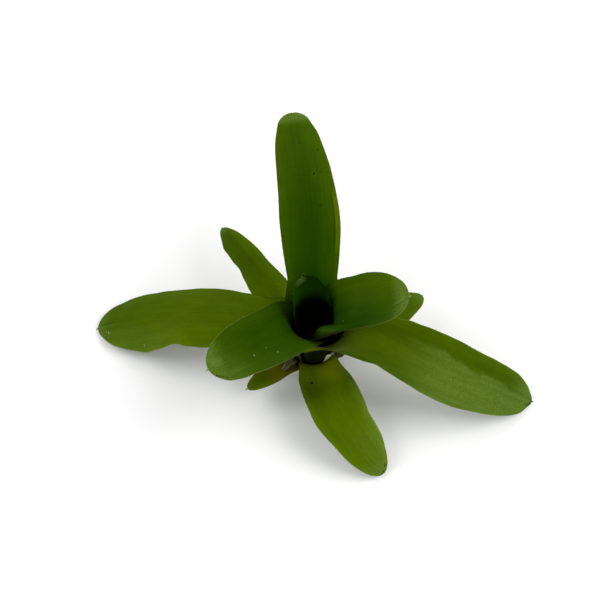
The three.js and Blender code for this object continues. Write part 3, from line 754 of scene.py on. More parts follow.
def thorn_places(leaf, grid, settings, seed):
    """A matrix and a place on the leaf for each tooth of both margins, and for the spine at the tip."""
    surface, x, arc, v, share = grid
    random = np.random.default_rng(seed)
    height, spacing = settings.tooth_height / MM, settings.tooth_spacing / MM
    found = []
    for edge, inner in ((0, 3), (-1, -4)):
        at = TEETH_START * leaf["neck_length"]
        while at < leaf["length"] - TEETH_END:
            row = int(np.searchsorted(x[:, 0], at))
            outward = unit(surface[row, edge] - surface[row, inner])
            forward = unit(surface[row + 1, edge] - surface[row - 1, edge])
            size = height * random.uniform(*TOOTH_SIZES)
            thick = np.cross(outward, forward) * TOOTH_THICK * size
            axes = [outward * size, forward * TOOTH_WIDE * size, thick]
            base = surface[row, edge] - outward * THORN_ROOT * size
            shares = (v[row, edge], share[row, edge])
            found.append((axes, base, (arc[row, edge], at, 0), shares, TOOTH_COLOURS))
            at += spacing * random.uniform(*TOOTH_GAPS)
    middle = surface.shape[1] // 2
    ahead = unit(surface[-1, middle] - surface[-6, middle])
    sideways = unit(surface[-1, -1] - surface[-1, 0])
    spine, darkness = leaf["spine"]
    axes = [ahead * spine, sideways * (1 + 0.3 * spine), np.cross(ahead, sideways) * SPINE_THICK]
    base = surface[-1, middle] - ahead * THORN_ROOT * spine
    found.append((axes, base, (0, leaf["length"], 0), (0, 1), (0.12 + 0.3 * darkness, 0.15 + darkness)))
    return found


def add_thorns(piece, hook, found):
    """Sets a copy of the thorn at each place and joins them all to the leaf."""
    template = read_places(hook.data)
    faces = [tuple(face.vertices) for face in hook.data.polygons]
    points, polygons, places, shares = [], [], [], []
    for number, (axes, base, place, share, (pale, dark)) in enumerate(found):
        order = -1 if np.linalg.det(np.array(axes)) < 0 else 1
        polygons += [tuple(i + number * len(template) for i in face[::order]) for face in faces]
        points.append(template @ np.array(axes) + base)
        places += [place] * len(template)
        shares += [(*share, pale + (dark - pale) * x) for x in template[:, 0]]
    mesh = bpy.data.meshes.new("thorns")
    mesh.from_pydata((np.vstack(points) * MM).tolist(), [], polygons)
    write_attribute(mesh, "blade_mm", places)
    write_attribute(mesh, "blade_share", shares)
    thorns = bpy.data.objects.new("thorns", mesh)
    bpy.context.collection.objects.link(thorns)
    make_active(piece)
    thorns.select_set(True)
    bpy.ops.object.join()
    bpy.ops.object.shade_smooth()


def leaf_rows(leaf):
    sheath = max(6, round((leaf["neck_height"] - foot_height(leaf)) / SHEATH_ROW_STEP))
    return sheath, max(10, round(leaf["length"] / ROW_STEP))


def grow_leaves(names, slot, seed):
    """Makes the named leaves in place of their solids."""
    settings = bpy.context.scene.neoregelia_leaf
    sheet = settings.blade_thickness / MM, settings.margin_thickness / MM, settings.pleat_height / MM
    hook = hook_mesh()
    for name in names:
        leaf = {**PLAIN_LEAF, **LEAVES[name]}
        columns = 2 * round(leaf["width"] / COLUMN_STEP)
        shown_name = name.removeprefix("leaf_") + "_leaf"
        piece, grid = blade_piece(shown_name, leaf, leaf_rows(leaf), columns, *sheet)
        add_thorns(piece, hook, thorn_places(leaf, grid, settings, seed + round(leaf["azimuth"] % 360)))
        hand_over(piece, name, slot, waxy_leaf(name, leaf, settings), scurfy_underside(leaf, settings))
    bpy.data.objects.remove(hook)


# --- materials ----------------------------------------------------------------------------------


def feed(tree, node, links):
    """Feeds the inputs of a node with the outputs of others or with plain values."""
    for key, value in links.items():
        socket = node.inputs[key]
        if isinstance(value, bpy.types.NodeSocket):
            tree.links.new(value, socket)
        elif socket.type == "RGBA":
            socket.default_value = (*value, 1)
        else:
            socket.default_value = value


def add_node(tree, kind, links=None, out=0, stops=None, **settings):
    """Adds a shader node, sets it up, feeds it and gives one output."""
    made = tree.nodes.new("ShaderNode" + kind)
    for key, value in settings.items():
        setattr(made, key, value)
    feed(tree, made, links or {})
    if stops:
        elements = made.color_ramp.elements
        while len(elements) < len(stops):
            elements.new(0.5)
        for element, (position, colour) in zip(elements, stops):
            element.position = position
            element.color = (*colour, 1)
    return made.outputs[out]


def new_material(name):
    material = bpy.data.materials.new(name)
    material.use_nodes = True
    tree = material.node_tree
    return material, tree, tree.nodes["Principled BSDF"]


def mixed(first, second, share):
    return tuple(a + (b - a) * share for a, b in zip(first, second))


def toned(colour, factor):
    return tuple(min(1.0, c * factor) for c in colour)


def leaf_places(tree):
    """Where on a leaf a point is: in millimetres, and in shares, which also hold the colour of a thorn."""
    place = add_node(tree, "Attribute", out="Vector", attribute_name="blade_mm")
    share = add_node(tree, "Attribute", out="Vector", attribute_name="blade_share")
    across_mm, along_mm, margin_mm = add_node(tree, "SeparateXYZ", {0: place}).node.outputs
    across, along, thorn = add_node(tree, "SeparateXYZ", {0: share}).node.outputs
    return SimpleNamespace(
        place=place, share=share, across_mm=across_mm, along_mm=along_mm, margin_mm=margin_mm,
        across=across, along=along, thorn=thorn,
    )


def past_edge(tree, at, tilt, bend):
    """How far along the leaf, counted so that an edge tilted and bent across it lies at one level."""
    shift = add_node(tree, "Math", {0: at.across, 1: -bend, 2: -tilt}, operation="MULTIPLY_ADD")
    return add_node(tree, "Math", {0: at.across, 1: shift, 2: at.along_mm}, operation="MULTIPLY_ADD")


def varied(tree, ground, patterns):
    """The ground made darker and lighter by patterns of noise, each with its least and its most tone."""
    tone = 1
    for noise, least, most in patterns:
        factor = add_node(tree, "MapRange", {0: noise, 1: 0.3, 2: 0.7, 3: least, 4: most})
        tone = add_node(tree, "Math", {0: tone, 1: factor}, operation="MULTIPLY")
    return add_node(tree, "VectorMath", {0: ground, "Scale": tone}, operation="SCALE")


def curled_strip(tree, ground, curl, pale, dark, at):
    """The curled strip of margin is painted lighter, as painted light, and its crease is painted darker, as
    painted shade.
    """
    start, end, width = curl["start"], curl["end"], curl["width"]
    within = add_node(tree, "MapRange", {0: at.across, 1: -0.6, 2: -0.7})
    for none, full in ((start - 2, start + 4), (end + 4, end - 5)):
        bound = add_node(tree, "MapRange", {0: at.along_mm, 1: none, 2: full})
        within = add_node(tree, "Math", {0: within, 1: bound}, operation="MULTIPLY")
    strip = add_node(tree, "MapRange", {0: at.margin_mm, 1: width, 2: width - 0.25, 4: 0.85})
    crease = add_node(tree, "Math", {0: at.margin_mm, 1: width + 0.1, 2: 0.45}, operation="COMPARE")
    crease = add_node(tree, "Math", {0: crease, 1: 0.4}, operation="MULTIPLY")
    for cover, colour in ((strip, pale), (crease, dark)):
        cover = add_node(tree, "Math", {0: cover, 1: within}, operation="MULTIPLY")
        ground = add_node(tree, "Mix", {0: cover, 6: ground, 7: colour}, 2, data_type="RGBA")
    return ground


def small_mark(tree, ground, place, mark, halo_colour):
    """One of the marks at its own place on a leaf, in a pale halo if its kind has one."""
    along_at, across_at, radius, kind = mark
    colour, strength, blur, halo = MARKS[kind]
    away = add_node(
        tree, "VectorMath", {0: place, 1: (across_at, along_at, 0)}, "Value", operation="DISTANCE"
    )
    for radii, depth, tint in ((HALO_RADII, halo, halo_colour), (blur, strength, linear(colour))):
        if depth:
            spot = add_node(tree, "MapRange", {0: away, 1: radius, 2: radii * radius, 3: depth, 4: 0})
            ground = add_node(tree, "Mix", {0: spot, 6: ground, 7: tint}, 2, data_type="RGBA")
    return ground


def waxy_bloom(tree, leaf, at, streaks, mottle):
    """How thick the film of wax is: a patch on the blade, and a fan of fine wrinkles at the tip. Both stand
    partly for painted sheen, where the blade faces the light.
    """
    length = leaf["length"]
    strength, reach = leaf["tip_bloom"]
    from_tip = add_node(tree, "Math", {0: length + 2, 1: at.along_mm}, operation="SUBTRACT")
    fan = add_node(tree, "Math", {0: at.across_mm, 1: from_tip}, operation="ARCTAN2")
    wrinkles = add_node(tree, "TexNoise", {"W": fan, "Scale": 16, "Detail": 2}, noise_dimensions="1D")
    wrinkles = add_node(tree, "MapRange", {0: wrinkles, 1: 0.35, 2: 0.62, 3: 0.45, 4: 1})
    film = add_node(
        tree, "MapRange", {0: at.along_mm, 1: length - reach, 2: length - 0.2 * reach, 4: strength},
        interpolation_type="SMOOTHSTEP",
    )
    film = add_node(tree, "Math", {0: film, 1: wrinkles}, operation="MULTIPLY")
    if not leaf["bloom"]:
        return film

    # The patch has a ragged bound and is cloudy inside it.
    start, full, strength, (side, slope, level, softness) = leaf["bloom"]
    bound = add_node(
        tree, "VectorMath", {0: at.share, 1: (side, slope, 0)}, "Value", operation="DOT_PRODUCT"
    )
    ragged = add_node(tree, "MapRange", {0: mottle, 1: 0.3, 2: 0.7, 3: -0.16, 4: 0.16})
    bound = add_node(tree, "Math", {0: bound, 1: ragged}, operation="ADD")
    within = add_node(tree, "MapRange", {0: bound, 1: level - softness, 2: level + softness, 3: 1, 4: 0})
    patch = add_node(
        tree, "MapRange", {0: at.along, 1: start, 2: full, 4: strength}, interpolation_type="SMOOTHSTEP"
    )
    cloudy = add_node(tree, "MapRange", {0: streaks, 1: 0.35, 2: 0.6, 3: 0.62, 4: 1})
    for factor in (within, cloudy):
        patch = add_node(tree, "Math", {0: patch, 1: factor}, operation="MULTIPLY")
    return add_node(tree, "Math", {0: film, 1: patch}, operation="MAXIMUM")


def waxy_leaf(name, leaf, settings):
    """Living bromeliad leaf, upper face: a smooth waxy cuticle over parallel-veined green tissue.

    It shines softly, its green is deepest along the channel, partly as painted shade, and it goes grey-green
    where wax covers it and where painted sheen stands for light on it. Painted light lifts necks that lie in
    shade, and the sheath down in the cup is painted in shade."""
    material, tree, shader = new_material("waxy_" + name)
    at = leaf_places(tree)
    length = leaf["length"]
    green = toned(mixed(settings.young_green, settings.mature_green, leaf["age"]), leaf["tone"])
    light = mixed(green, settings.light_green, 0.6)
    deep = (green[0] * 0.36, green[1] * 0.61, green[2])
    if leaf["deep_green"]:
        deep = linear(leaf["deep_green"])
    # Painted light lifts the neck's olive, where the neck lies in the shade of the leaves above.
    neck_painted_light, neck_end = leaf["neck"]
    olive = toned(mixed(green, settings.neck_olive, 0.7 * leaf["age"] ** 2), neck_painted_light)

    # Crosswise the green goes from margin to margin by the leaf's tints, which hold painted shade and
    # painted light as well as the leaf's own tones, and at the neck it is olive, lifted by painted light
    # where the neck lies in shade.
    def tinted(tint):
        if tint > 1:
            return mixed(light, settings.bloom_and_sheen_green, tint - 1)
        return mixed(green, light if tint > 0 else deep, abs(tint))

    sideways = add_node(tree, "MapRange", {0: at.across, 1: -1, 2: 1})
    stops = [(0.5 + 0.5 * place, tinted(tint)) for place, tint in leaf["tints"]]
    ground = add_node(tree, "ValToRGB", {0: sideways}, stops=stops)
    for end, tint in zip((0, 1), leaf["ends"]):
        towards_end = add_node(tree, "MapRange", {0: at.along, 1: 0.55, 2: end, 4: abs(tint)})
        shade = light if tint > 0 else deep
        ground = add_node(tree, "Mix", {0: towards_end, 6: ground, 7: shade}, 2, data_type="RGBA")
    level, tilt, bend, softness = leaf["cup_edge"]
    beyond = past_edge(tree, at, tilt, bend)
    neck = add_node(tree, "MapRange", {0: beyond, 1: level, 2: level + neck_end, 3: 0.9, 4: 0})
    ground = add_node(tree, "Mix", {0: neck, 6: ground, 7: olive}, 2, data_type="RGBA")
    if leaf["curl"]:
        ground = curled_strip(tree, ground, leaf["curl"], settings.mature_green, deep, at)

    # Long veins are a noise drawn out forty times along the leaf. Streaks are 3 mm wide and 33 mm long,
    # mottling is 9 mm across, and the grains of the cuticle are 0.7 mm, coarse enough to show.
    vein = settings.vein_spacing / MM
    drawn_out = add_node(tree, "Mapping", {0: at.place, 3: (1 / vein, 0.025 / vein, 0)})
    broad = add_node(tree, "Mapping", {0: at.place, 3: (0.3, 0.03, 0)})
    veins, mottle, streaks, grains = (
        add_node(tree, "TexNoise", {"Vector": vector, "Scale": scale, "Detail": detail, "Roughness": rough})
        for vector, scale, detail, rough in (
            (drawn_out, 1, 4, 0.6), (at.place, 1 / 9, 4, 0.6), (broad, 1, 3, 0.6), (at.place, 1.4, 3, 0.7)
        )
    )
    tones = ((veins, 0.92, 1.08), (mottle, 0.91, 1.09), (streaks, 0.92, 1.08), (grains, 0.9, 1.1))
    ground = varied(tree, ground, tones)
    # A fold before the tip: a painted shade line along it, and a painted highlight line beside it.
    if leaf["crease"]:
        reach, at_tip, slant, shade, shine = leaf["crease"]
        near_tip = {0: at.along_mm, 1: length - reach, 2: length - 0.5 * reach}
        sloped = {0: at.along_mm, 1: -slant, 2: at.across_mm}
        off_line = add_node(tree, "Math", sloped, operation="MULTIPLY_ADD")
        for beside, colour, strength in ((0, deep, shade), (CREASE_APART, settings.bloom_and_sheen_green, shine)):
            middle = at_tip - slant * length + beside
            line = add_node(tree, "Math", {0: off_line, 1: middle, 2: CREASE_HALF}, operation="COMPARE")
            fold = add_node(tree, "MapRange", {**near_tip, 4: strength})
            fold = add_node(tree, "Math", {0: fold, 1: line}, operation="MULTIPLY")
            ground = add_node(tree, "Mix", {0: fold, 6: ground, 7: colour}, 2, data_type="RGBA")

    # Wax lies in the same grains.
    film = waxy_bloom(tree, leaf, at, streaks, mottle)
    grain_depth = add_node(tree, "MapRange", {0: grains, 1: 0.38, 2: 0.6, 3: 0.28, 4: 0.92})
    film = add_node(tree, "Math", {0: film, 1: grain_depth}, operation="MULTIPLY")
    ground = add_node(tree, "Mix", {0: film, 6: ground, 7: settings.bloom_and_sheen_green}, 2, data_type="RGBA")

    level_place = add_node(tree, "VectorMath", {0: at.place, 1: (1, 1, 0)}, operation="MULTIPLY")
    for mark in leaf["marks"]:
        ground = small_mark(tree, ground, level_place, mark, settings.bloom_and_sheen_green)

    # Low on the blade the margin is darkened with the sheath's brown: partly its own brown, partly a painted
    # shadow line where it meets the leaves it overlaps. Further out it is painted pale, light showing
    # through the thin margin, as painted light. Below the cup's edge the sheath is painted dark: its own
    # dark colour deepened into painted shade down in the cup. Thorns are pale at the foot and brown at the
    # point.
    clockwise, anticlockwise = leaf["margin_brown_and_shadow"]
    browned = add_node(tree, "MapRange", {0: at.across, 1: -0.2, 2: 0.2, 3: clockwise, 4: anticlockwise})
    for distance, (full, none) in ((at.margin_mm, BROWN_WIDTH), (at.along_mm, BROWN_FADE)):
        factor = add_node(tree, "MapRange", {0: distance, 1: full, 2: none, 3: 1, 4: 0})
        browned = add_node(tree, "Math", {0: browned, 1: factor}, operation="MULTIPLY")
    full, none = RIM_WIDTH
    rim = add_node(tree, "MapRange", {0: at.margin_mm, 1: full, 2: none, 3: 1, 4: 0})
    past_neck = add_node(tree, "MapRange", {0: at.along_mm, 1: RIM_START, 2: 0.8 * length, 4: leaf["rim"]})
    rim = add_node(tree, "Math", {0: rim, 1: past_neck}, operation="MULTIPLY")
    darkened = add_node(
        tree, "MapRange", {0: beyond, 1: level - softness, 2: level + softness, 3: 1, 4: 0},
        interpolation_type="SMOOTHSTEP",
    )
    thorn_foot = add_node(tree, "MapRange", {0: at.thorn, 1: 0.02, 2: 0.12, 4: 0.3})
    thorn_point = add_node(tree, "MapRange", {0: at.thorn, 1: 0.3, 2: 0.7})
    for cover, colour in (
        (browned, settings.sheath_brown), (rim, settings.margin_pale), (darkened, settings.cup_shade_dark),
        (thorn_foot, settings.margin_pale), (thorn_point, settings.spine_brown),
    ):
        ground = add_node(tree, "Mix", {0: cover, 6: ground, 7: colour}, 2, data_type="RGBA")

    # The cuticle is smooth and has a faint yellow-green shine, which wax dulls.
    roughness = add_node(tree, "MapRange", {0: film, 2: 0.8, 3: 0.4, 4: 0.55})
    bump = add_node(tree, "Bump", {"Strength": 0.45, "Distance": 0.05 * MM, "Height": veins})
    grain_bump = {"Strength": 0.25, "Distance": 0.03 * MM, "Height": grains, "Normal": bump}
    bump = add_node(tree, "Bump", grain_bump)
    feed(tree, shader, {
        "Base Color": ground, "Roughness": roughness, "IOR": 1.45, "Normal": bump,
        "Specular IOR Level": leaf["gloss"], "Specular Tint": (0.9, 1, 0.02),
    })
    return material


def scurfy_underside(leaf, settings):
    """Living bromeliad leaf, underside: paler tissue dulled by rows of minute grey scales.

    The outer face of the sheath is dark brown and mottled, dark enough to stand also for painted shade in
    the pockets, and tan at its foot."""
    material, tree, shader = new_material("scurfy_underside")
    at = leaf_places(tree)
    green = mixed(settings.under_green, settings.mature_green, 0.5 * leaf["age"])
    brown = tuple(settings.sheath_brown)
    level, tilt, bend, softness = leaf["outer_edge"] or (leaf["cup_edge"][0] + 3, 0, 0, 10)
    beyond = past_edge(tree, at, tilt, bend)
    above = add_node(tree, "MapRange", {0: beyond, 1: level - softness, 2: level + 1.5 * softness})
    stops = [(0.2, brown), (0.5, mixed(brown, green, 0.35)), (1.0, green)]
    ground = add_node(tree, "ValToRGB", {0: above}, stops=stops)
    foot = add_node(tree, "MapRange", {0: at.along, 1: -1, 2: -0.75, 3: 1, 4: 0})
    ground = add_node(tree, "Mix", {0: foot, 6: ground, 7: settings.foot_tan}, 2, data_type="RGBA")

    # Rows are 0.7 mm wide and 20 mm long, and mottling is 3 mm across. Real scales are some 0.1 mm, and
    # these are 0.45 mm apart, coarse enough to show.
    drawn_out = add_node(tree, "Mapping", {0: at.place, 3: (1.4, 0.05, 0)})
    rows = add_node(tree, "TexNoise", {"Vector": drawn_out, "Scale": 1, "Detail": 4, "Roughness": 0.65})
    mottle = add_node(tree, "TexNoise", {"Vector": at.place, "Scale": 0.3, "Detail": 4, "Roughness": 0.6})
    ground = varied(tree, ground, ((rows, 0.82, 1.15), (mottle, 0.8, 1.2)))
    scurf = add_node(tree, "TexVoronoi", {"Vector": at.place, "Scale": 2.2, "Randomness": 0.9}, "Distance")
    dots = add_node(tree, "MapRange", {0: scurf, 1: 0.12, 2: 0.3, 3: 0.22, 4: 0})
    dots = add_node(tree, "Math", {0: dots, 1: above}, operation="MULTIPLY")
    ground = add_node(tree, "Mix", {0: dots, 6: ground, 7: settings.scurf_grey}, 2, data_type="RGBA")
    bump = add_node(tree, "Bump", {"Strength": 0.4, "Distance": 0.06 * MM, "Height": rows})
    feed(tree, shader, {"Base Color": ground, "Roughness": 0.62, "Specular IOR Level": 0.08, "Normal": bump})
    return material


def dry_scale_paper(paper):
    """Withered scale leaf: papery, fibrous and matt, bleached between darker fibres."""
    material, tree, shader = new_material("dry_scale_paper")
    place = add_node(tree, "Attribute", out="Vector", attribute_name="blade_mm")
    # Fibres are 0.4 mm wide and 5.6 mm long.
    drawn_out = add_node(tree, "Mapping", {0: place, 3: (2.6, 0.18, 0)})
    fibres = add_node(tree, "TexNoise", {"Vector": drawn_out, "Scale": 1, "Detail": 5, "Roughness": 0.7})
    bleached = mixed(paper, linear(BLEACHED_PAPER), 0.4)
    stops = [(0.32, toned(paper, 0.35)), (0.5, paper), (0.68, bleached)]
    ground = add_node(tree, "ValToRGB", {0: fibres}, stops=stops)
    bump = add_node(tree, "Bump", {"Strength": 0.8, "Distance": 0.12 * MM, "Height": fibres})
    feed(tree, shader, {"Base Color": ground, "Roughness": 0.85, "Specular IOR Level": 0.2, "Normal": bump})
    return material


def corky_stem(settings):
    """Bromeliad stem: cork over fibre, rough and matt, with a dried cream-coloured cut."""
    material, tree, shader = new_material("corky_stem")
    place = add_node(tree, "TexCoord", out="Object")
    height = add_node(tree, "SeparateXYZ", {0: place}, 2)
    # Object places are in metres: the cork's fibres are 1.4 mm wide and 5.6 mm long.
    drawn_out = add_node(tree, "Mapping", {0: place, 3: (700, 700, 180)})
    fibres = add_node(tree, "TexNoise", {"Vector": drawn_out, "Scale": 1, "Detail": 6, "Roughness": 0.7})
    cork, cream = tuple(settings.cork_brown), tuple(settings.cut_cream)
    stops = [(0.3, toned(cork, 0.3)), (0.5, cork), (0.72, mixed(cork, linear(PALE_CORK), 0.6))]
    ground = add_node(tree, "ValToRGB", {0: fibres}, stops=stops)
    # The cells of the pith in the cut are drawn 1.1 mm across, coarse enough to show.
    grain = add_node(tree, "TexVoronoi", {"Vector": place, "Scale": 900, "Randomness": 1}, "Distance")
    pith = add_node(tree, "ValToRGB", {0: grain}, stops=[(0.0, toned(cream, 0.45)), (0.35, cream)])
    cut = add_node(tree, "MapRange", {0: height, 1: 0.0, 2: 0.4 * MM, 3: 1, 4: 0})
    stain_top = (STEM_SHOULDER + STAIN_RISE) * MM
    darkened = add_node(tree, "MapRange", {0: height, 1: STEM_SHOULDER * MM, 2: stain_top})
    for cover, colour in ((cut, pith), (darkened, settings.stem_stain)):
        ground = add_node(tree, "Mix", {0: cover, 6: ground, 7: colour}, 2, data_type="RGBA")
    bump = add_node(tree, "Bump", {"Strength": 0.9, "Distance": 0.25 * MM, "Height": fibres})
    feed(tree, shader, {"Base Color": ground, "Roughness": 0.9, "Specular IOR Level": 0.2, "Normal": bump})
    return material


def matt_white_floor(settings):
    """White painted board: quite matt, so that nothing shows on it but soft shadow."""
    material, tree, shader = new_material("matt_white_floor")
    feed(tree, shader, {"Base Color": settings.floor_white, "Roughness": 1, "Specular IOR Level": 0})
    return material


# --- operators ----------------------------------------------------------------------------------


class NEOREGELIA_OT_long_leaves(bpy.types.Operator):
    """Makes the three long leaves of the rosette"""

    bl_idname = "neoregelia.long_leaves"
    bl_label = "Long Leaves"

    def execute(self, context):
        grow_leaves(["leaf_left_long", "leaf_right_long"], "outer_leaf", 11)
        grow_leaves(["leaf_back_long"], "inner_leaf", 12)
        return {"FINISHED"}


class NEOREGELIA_OT_inner_leaves(bpy.types.Operator):
    """Makes the broad leaves round the cup and the upright spoon-shaped one"""

    bl_idname = "neoregelia.inner_leaves"
    bl_label = "Inner Leaves"

    def execute(self, context):
        grow_leaves(["leaf_front_left_broad", "leaf_right_broad", "leaf_inner_spoon"], "inner_leaf", 13)
        return {"FINISHED"}


class NEOREGELIA_OT_outer_leaves(bpy.types.Operator):
    """Makes the front leaf and the three lowest, narrow leaves"""

    bl_idname = "neoregelia.outer_leaves"
    bl_label = "Outer Leaves"

    def execute(self, context):
        names = ["leaf_front", "leaf_back_left_narrow", "leaf_right_narrow", "leaf_front_left_small"]
        grow_leaves(names, "outer_leaf", 14)
        return {"FINISHED"}


class NEOREGELIA_OT_dry_scales(bpy.types.Operator):
    """Makes the withered scale leaves round the foot of the sheaths, and two torn ends of old sheaths"""

    bl_idname = "neoregelia.dry_scales"
    bl_label = "Dry Scales"

    def execute(self, context):
        paper = dry_scale_paper(tuple(context.scene.neoregelia_base.paper_brown))
        for name, shape in SCALES.items():
            piece, _ = blade_piece(name + "_paper", {**DRY_SCALE, **shape}, *SCALE_SHEET)
            hand_over(piece, name, "dry_scale", paper, paper)
        for name, shape in TORN_SHEATHS.items():
            piece, _ = blade_piece(name, {**DRY_SCALE, **shape}, *TORN_SHEET)
            paper = dry_scale_paper(linear(shape["paper"]))
            hand_over(piece, None, "dry_scale", paper, paper)
        return {"FINISHED"}


def turned_piece(name, profile, sides):
    """A closed turned form, extruded ring by ring up a profile of (radius, height)."""
    deselect_all()
    radius, height = profile[0]
    bpy.ops.mesh.primitive_circle_add(
        vertices=sides, radius=radius * MM, fill_type="TRIFAN", location=(0, 0, height * MM)
    )
    bpy.ops.object.transform_apply(location=True)
    bpy.ops.object.mode_set(mode="EDIT")
    for next_radius, next_height in profile[1:]:
        rise = (next_height - height) * MM
        widening = next_radius / radius
        bpy.ops.mesh.extrude_region_move(TRANSFORM_OT_translate={"value": (0, 0, rise)})
        bpy.ops.transform.resize(value=(widening, widening, 1), center_override=(0, 0, 0))
        radius, height = next_radius, next_height
    bpy.ops.mesh.select_all(action="SELECT")
    bpy.ops.mesh.normals_make_consistent(inside=False)
    bpy.ops.object.mode_set(mode="OBJECT")
    piece = bpy.context.object
    piece.name = piece.data.name = name
    return piece


class NEOREGELIA_OT_stem(bpy.types.Operator):
    """Makes the corky stem with its ring scars and its cut"""

    bl_idname = "neoregelia.stem"
    bl_label = "Stem"

    def execute(self, context):
        stump = lambda height: CUT_RADIUS + (STEM_RADIUS - CUT_RADIUS) * math.sqrt(height / STEM_SHOULDER)
        seat = lambda layer: float(layer_radius(layer, layer_foot(layer)) - SHEATH_THICK / 2 - SEAT_GAP)
        inset, rise = CUT_BEVEL
        profile = [(CUT_RADIUS - inset, 0), (CUT_RADIUS, rise), (stump(CUT_EDGE), CUT_EDGE)]
        for scar in SCAR_HEIGHTS:
            for offset, depth in SCAR_PROFILE:
                profile.append((stump(scar + offset) - depth * SCAR_DEPTH, scar + offset))
        inset, drop = SHOULDER_BEVEL
        profile += [(STEM_RADIUS, STEM_SHOULDER - drop), (STEM_RADIUS - inset, STEM_SHOULDER)]
        profile.append((seat(OLDEST_LAYER), STEM_SHOULDER + 0.05))
        profile += [(seat(layer), layer_foot(layer)) for layer in range(OLDEST_LAYER, -1, -2)]
        apex = layer_foot(0) + APEX_ROUNDING
        profile += [(APEX_RADIUS, apex), (0.05, apex)]
        piece = turned_piece("corky_stem", profile, STEM_SIDES)

        # It is not quite round, and has fine ribs some 2.2 and 1.2 mm apart.
        places = read_places(piece.data)
        turn = np.arctan2(places[:, 1], places[:, 0])
        height = places[:, 2] / MM
        outline = np.cos(2 * turn + 0.6) + 0.4 * np.cos(5 * turn)
        ribs = 0.012 * np.sin(23 * turn + 2 * np.sin(1.3 * height)) + 0.008 * np.sin(41 * turn + height)
        stretch = 1 + STEM_UNEVEN * (outline - 1) + ribs - 0.01
        stretch = np.where(height < STEM_SHOULDER - 0.01, stretch, 1)
        places[:, :2] *= stretch[:, None]
        write_places(piece.data, places)
        make_active(piece)
        bpy.ops.object.shade_smooth_by_angle(angle=STEM_SMOOTH)
        hand_over(piece, "stem", "stem", corky_stem(context.scene.neoregelia_base))
        return {"FINISHED"}


class NEOREGELIA_OT_heart_leaf(bpy.types.Operator):
    """Makes the youngest leaf, rolled into a pointed bud"""

    bl_idname = "neoregelia.heart_leaf"
    bl_label = "Heart Leaf"

    def execute(self, context):
        low, high = (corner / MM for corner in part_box("leaf_heart"))
        profile = []
        for i in range(HEART_RINGS + 1):
            up = i / HEART_RINGS
            girth = (1 - up**HEART_TAPER) * (HEART_FOOT + HEART_BELLY * up * (1 - up))
            radius = max(HEART_POINT, HEART_RADIUS * girth * HEART_SHRINK)
            profile.append((radius, low.z + up * (high.z - low.z)))
        piece = turned_piece("rolled_heart_leaf", profile, HEART_SIDES)

        # Its margin winds up round it as a seam.
        places = read_places(piece.data)
        turn = np.arctan2(places[:, 1], places[:, 0])
        rise = (places[:, 2] / MM - low.z) / HEART_HEIGHT
        seam = np.mod(turn / (2 * math.pi) + HEART_TURNS * rise, 1)
        places[:, :2] *= (1 + HEART_SEAM * (seam - 0.5))[:, None]
        write_places(piece.data, places)
        around = seam * 2 * math.pi * HEART_RADIUS
        write_attribute(piece.data, "blade_mm", np.stack([around, rise * HEART_HEIGHT, 1 + 0 * rise], -1))
        write_attribute(piece.data, "blade_share", np.stack([0.5 + 0 * rise, rise, 0 * rise], -1))
        make_active(piece)
        bpy.ops.object.shade_smooth_by_angle(angle=HEART_SMOOTH)
        wax = waxy_leaf("leaf_heart", HEART_LEAF, context.scene.neoregelia_leaf)
        hand_over(piece, "leaf_heart", "inner_leaf", wax)
        return {"FINISHED"}


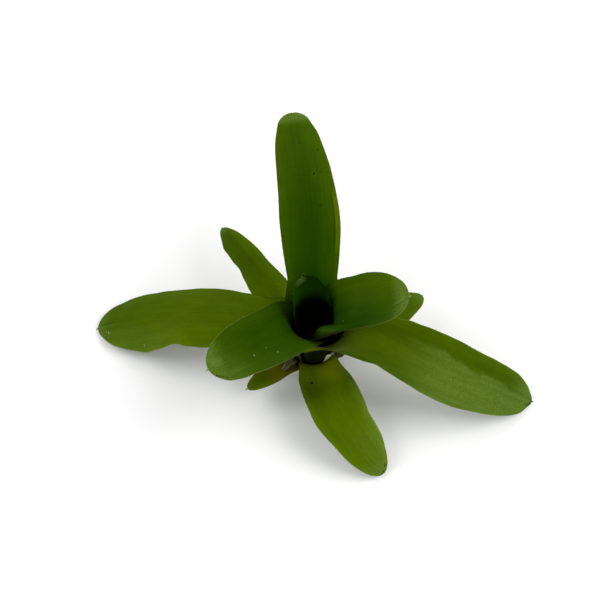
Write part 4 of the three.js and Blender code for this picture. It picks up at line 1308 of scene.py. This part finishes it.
class NEOREGELIA_OT_stage(bpy.types.Operator):
    """Sets up the pale floor, the soft lights and the camera"""

    bl_idname = "neoregelia.stage"
    bl_label = "Studio Stage"

    def execute(self, context):
        settings = context.scene.neoregelia_stage
        deselect_all()
        bpy.ops.mesh.primitive_plane_add(size=settings.floor_size, location=(0, 0, -FLOOR_GAP * MM))
        floor = context.object
        floor.name = "studio_floor"
        floor.data.materials.append(matt_white_floor(settings))

        target = Vector(VIEW_CENTRE) * MM
        powers = {"right": settings.right_power, "left": settings.left_power}
        for side, power in powers.items():
            place = Vector(SOFTBOXES[side])
            bpy.ops.object.light_add(type="AREA", location=place)
            light = context.object
            light.name = side + "_softbox"
            light.data.energy = power
            light.data.shape = "SQUARE"
            light.data.size = SOFTBOX_SIZE
            light.rotation_euler = (target - place).to_track_quat("-Z", "Y").to_euler()

        world = bpy.data.worlds.new("studio_room")
        world.use_nodes = True
        background = world.node_tree.nodes["Background"]
        feed(world.node_tree, background, {"Color": (1, 1, 1), "Strength": settings.room_light})
        context.scene.world = world

        height = settings.camera_height
        back = Vector((0, -math.cos(height), math.sin(height)))
        bpy.ops.object.camera_add(location=target + back * settings.camera_distance)
        camera = context.object
        camera.name = "plant_camera"
        camera.rotation_euler = (-back).to_track_quat("-Z", "Y").to_euler()
        camera.data.sensor_width = SENSOR_WIDTH
        camera.data.lens = LENS
        camera.data.clip_start = NEAREST
        context.scene.camera = camera
        context.scene.view_settings.view_transform = "Standard"
        return {"FINISHED"}


class NEOREGELIA_PT_panel(bpy.types.Panel):
    """Lists the steps that finish the plant"""

    bl_idname = "NEOREGELIA_PT_panel"
    bl_label = "Neoregelia Offset"
    bl_space_type = "VIEW_3D"
    bl_region_type = "UI"
    bl_category = "Neoregelia"

    def draw(self, context):
        for operator in OPERATORS:
            self.layout.operator(operator.bl_idname)
        for group in GROUPS:
            settings = getattr(context.scene, group)
            box = self.layout.box()
            for name in settings.__annotations__:
                box.prop(settings, name)


OPERATORS = (
    NEOREGELIA_OT_stage,
    NEOREGELIA_OT_stem,
    NEOREGELIA_OT_dry_scales,
    NEOREGELIA_OT_long_leaves,
    NEOREGELIA_OT_inner_leaves,
    NEOREGELIA_OT_outer_leaves,
    NEOREGELIA_OT_heart_leaf,
)
GROUPS = {
    "neoregelia_leaf": NEOREGELIA_PG_leaf,
    "neoregelia_base": NEOREGELIA_PG_base,
    "neoregelia_stage": NEOREGELIA_PG_stage,
}


def register():
    for group in GROUPS.values():
        bpy.utils.register_class(group)
    for name, group in GROUPS.items():
        setattr(bpy.types.Scene, name, bpy.props.PointerProperty(type=group))
    for shown in (*OPERATORS, NEOREGELIA_PT_panel):
        bpy.utils.register_class(shown)


def unregister():
    for shown in (NEOREGELIA_PT_panel, *reversed(OPERATORS)):
        bpy.utils.unregister_class(shown)
    for name, group in reversed(GROUPS.items()):
        delattr(bpy.types.Scene, name)
        bpy.utils.unregister_class(group)


def main():
    register()
    bpy.ops.neoregelia.stage()
    bpy.ops.neoregelia.stem()
    bpy.ops.neoregelia.dry_scales()
    bpy.ops.neoregelia.long_leaves()
    bpy.ops.neoregelia.inner_leaves()
    bpy.ops.neoregelia.outer_leaves()
    bpy.ops.neoregelia.heart_leaf()


if __name__ == "__main__":
    main()
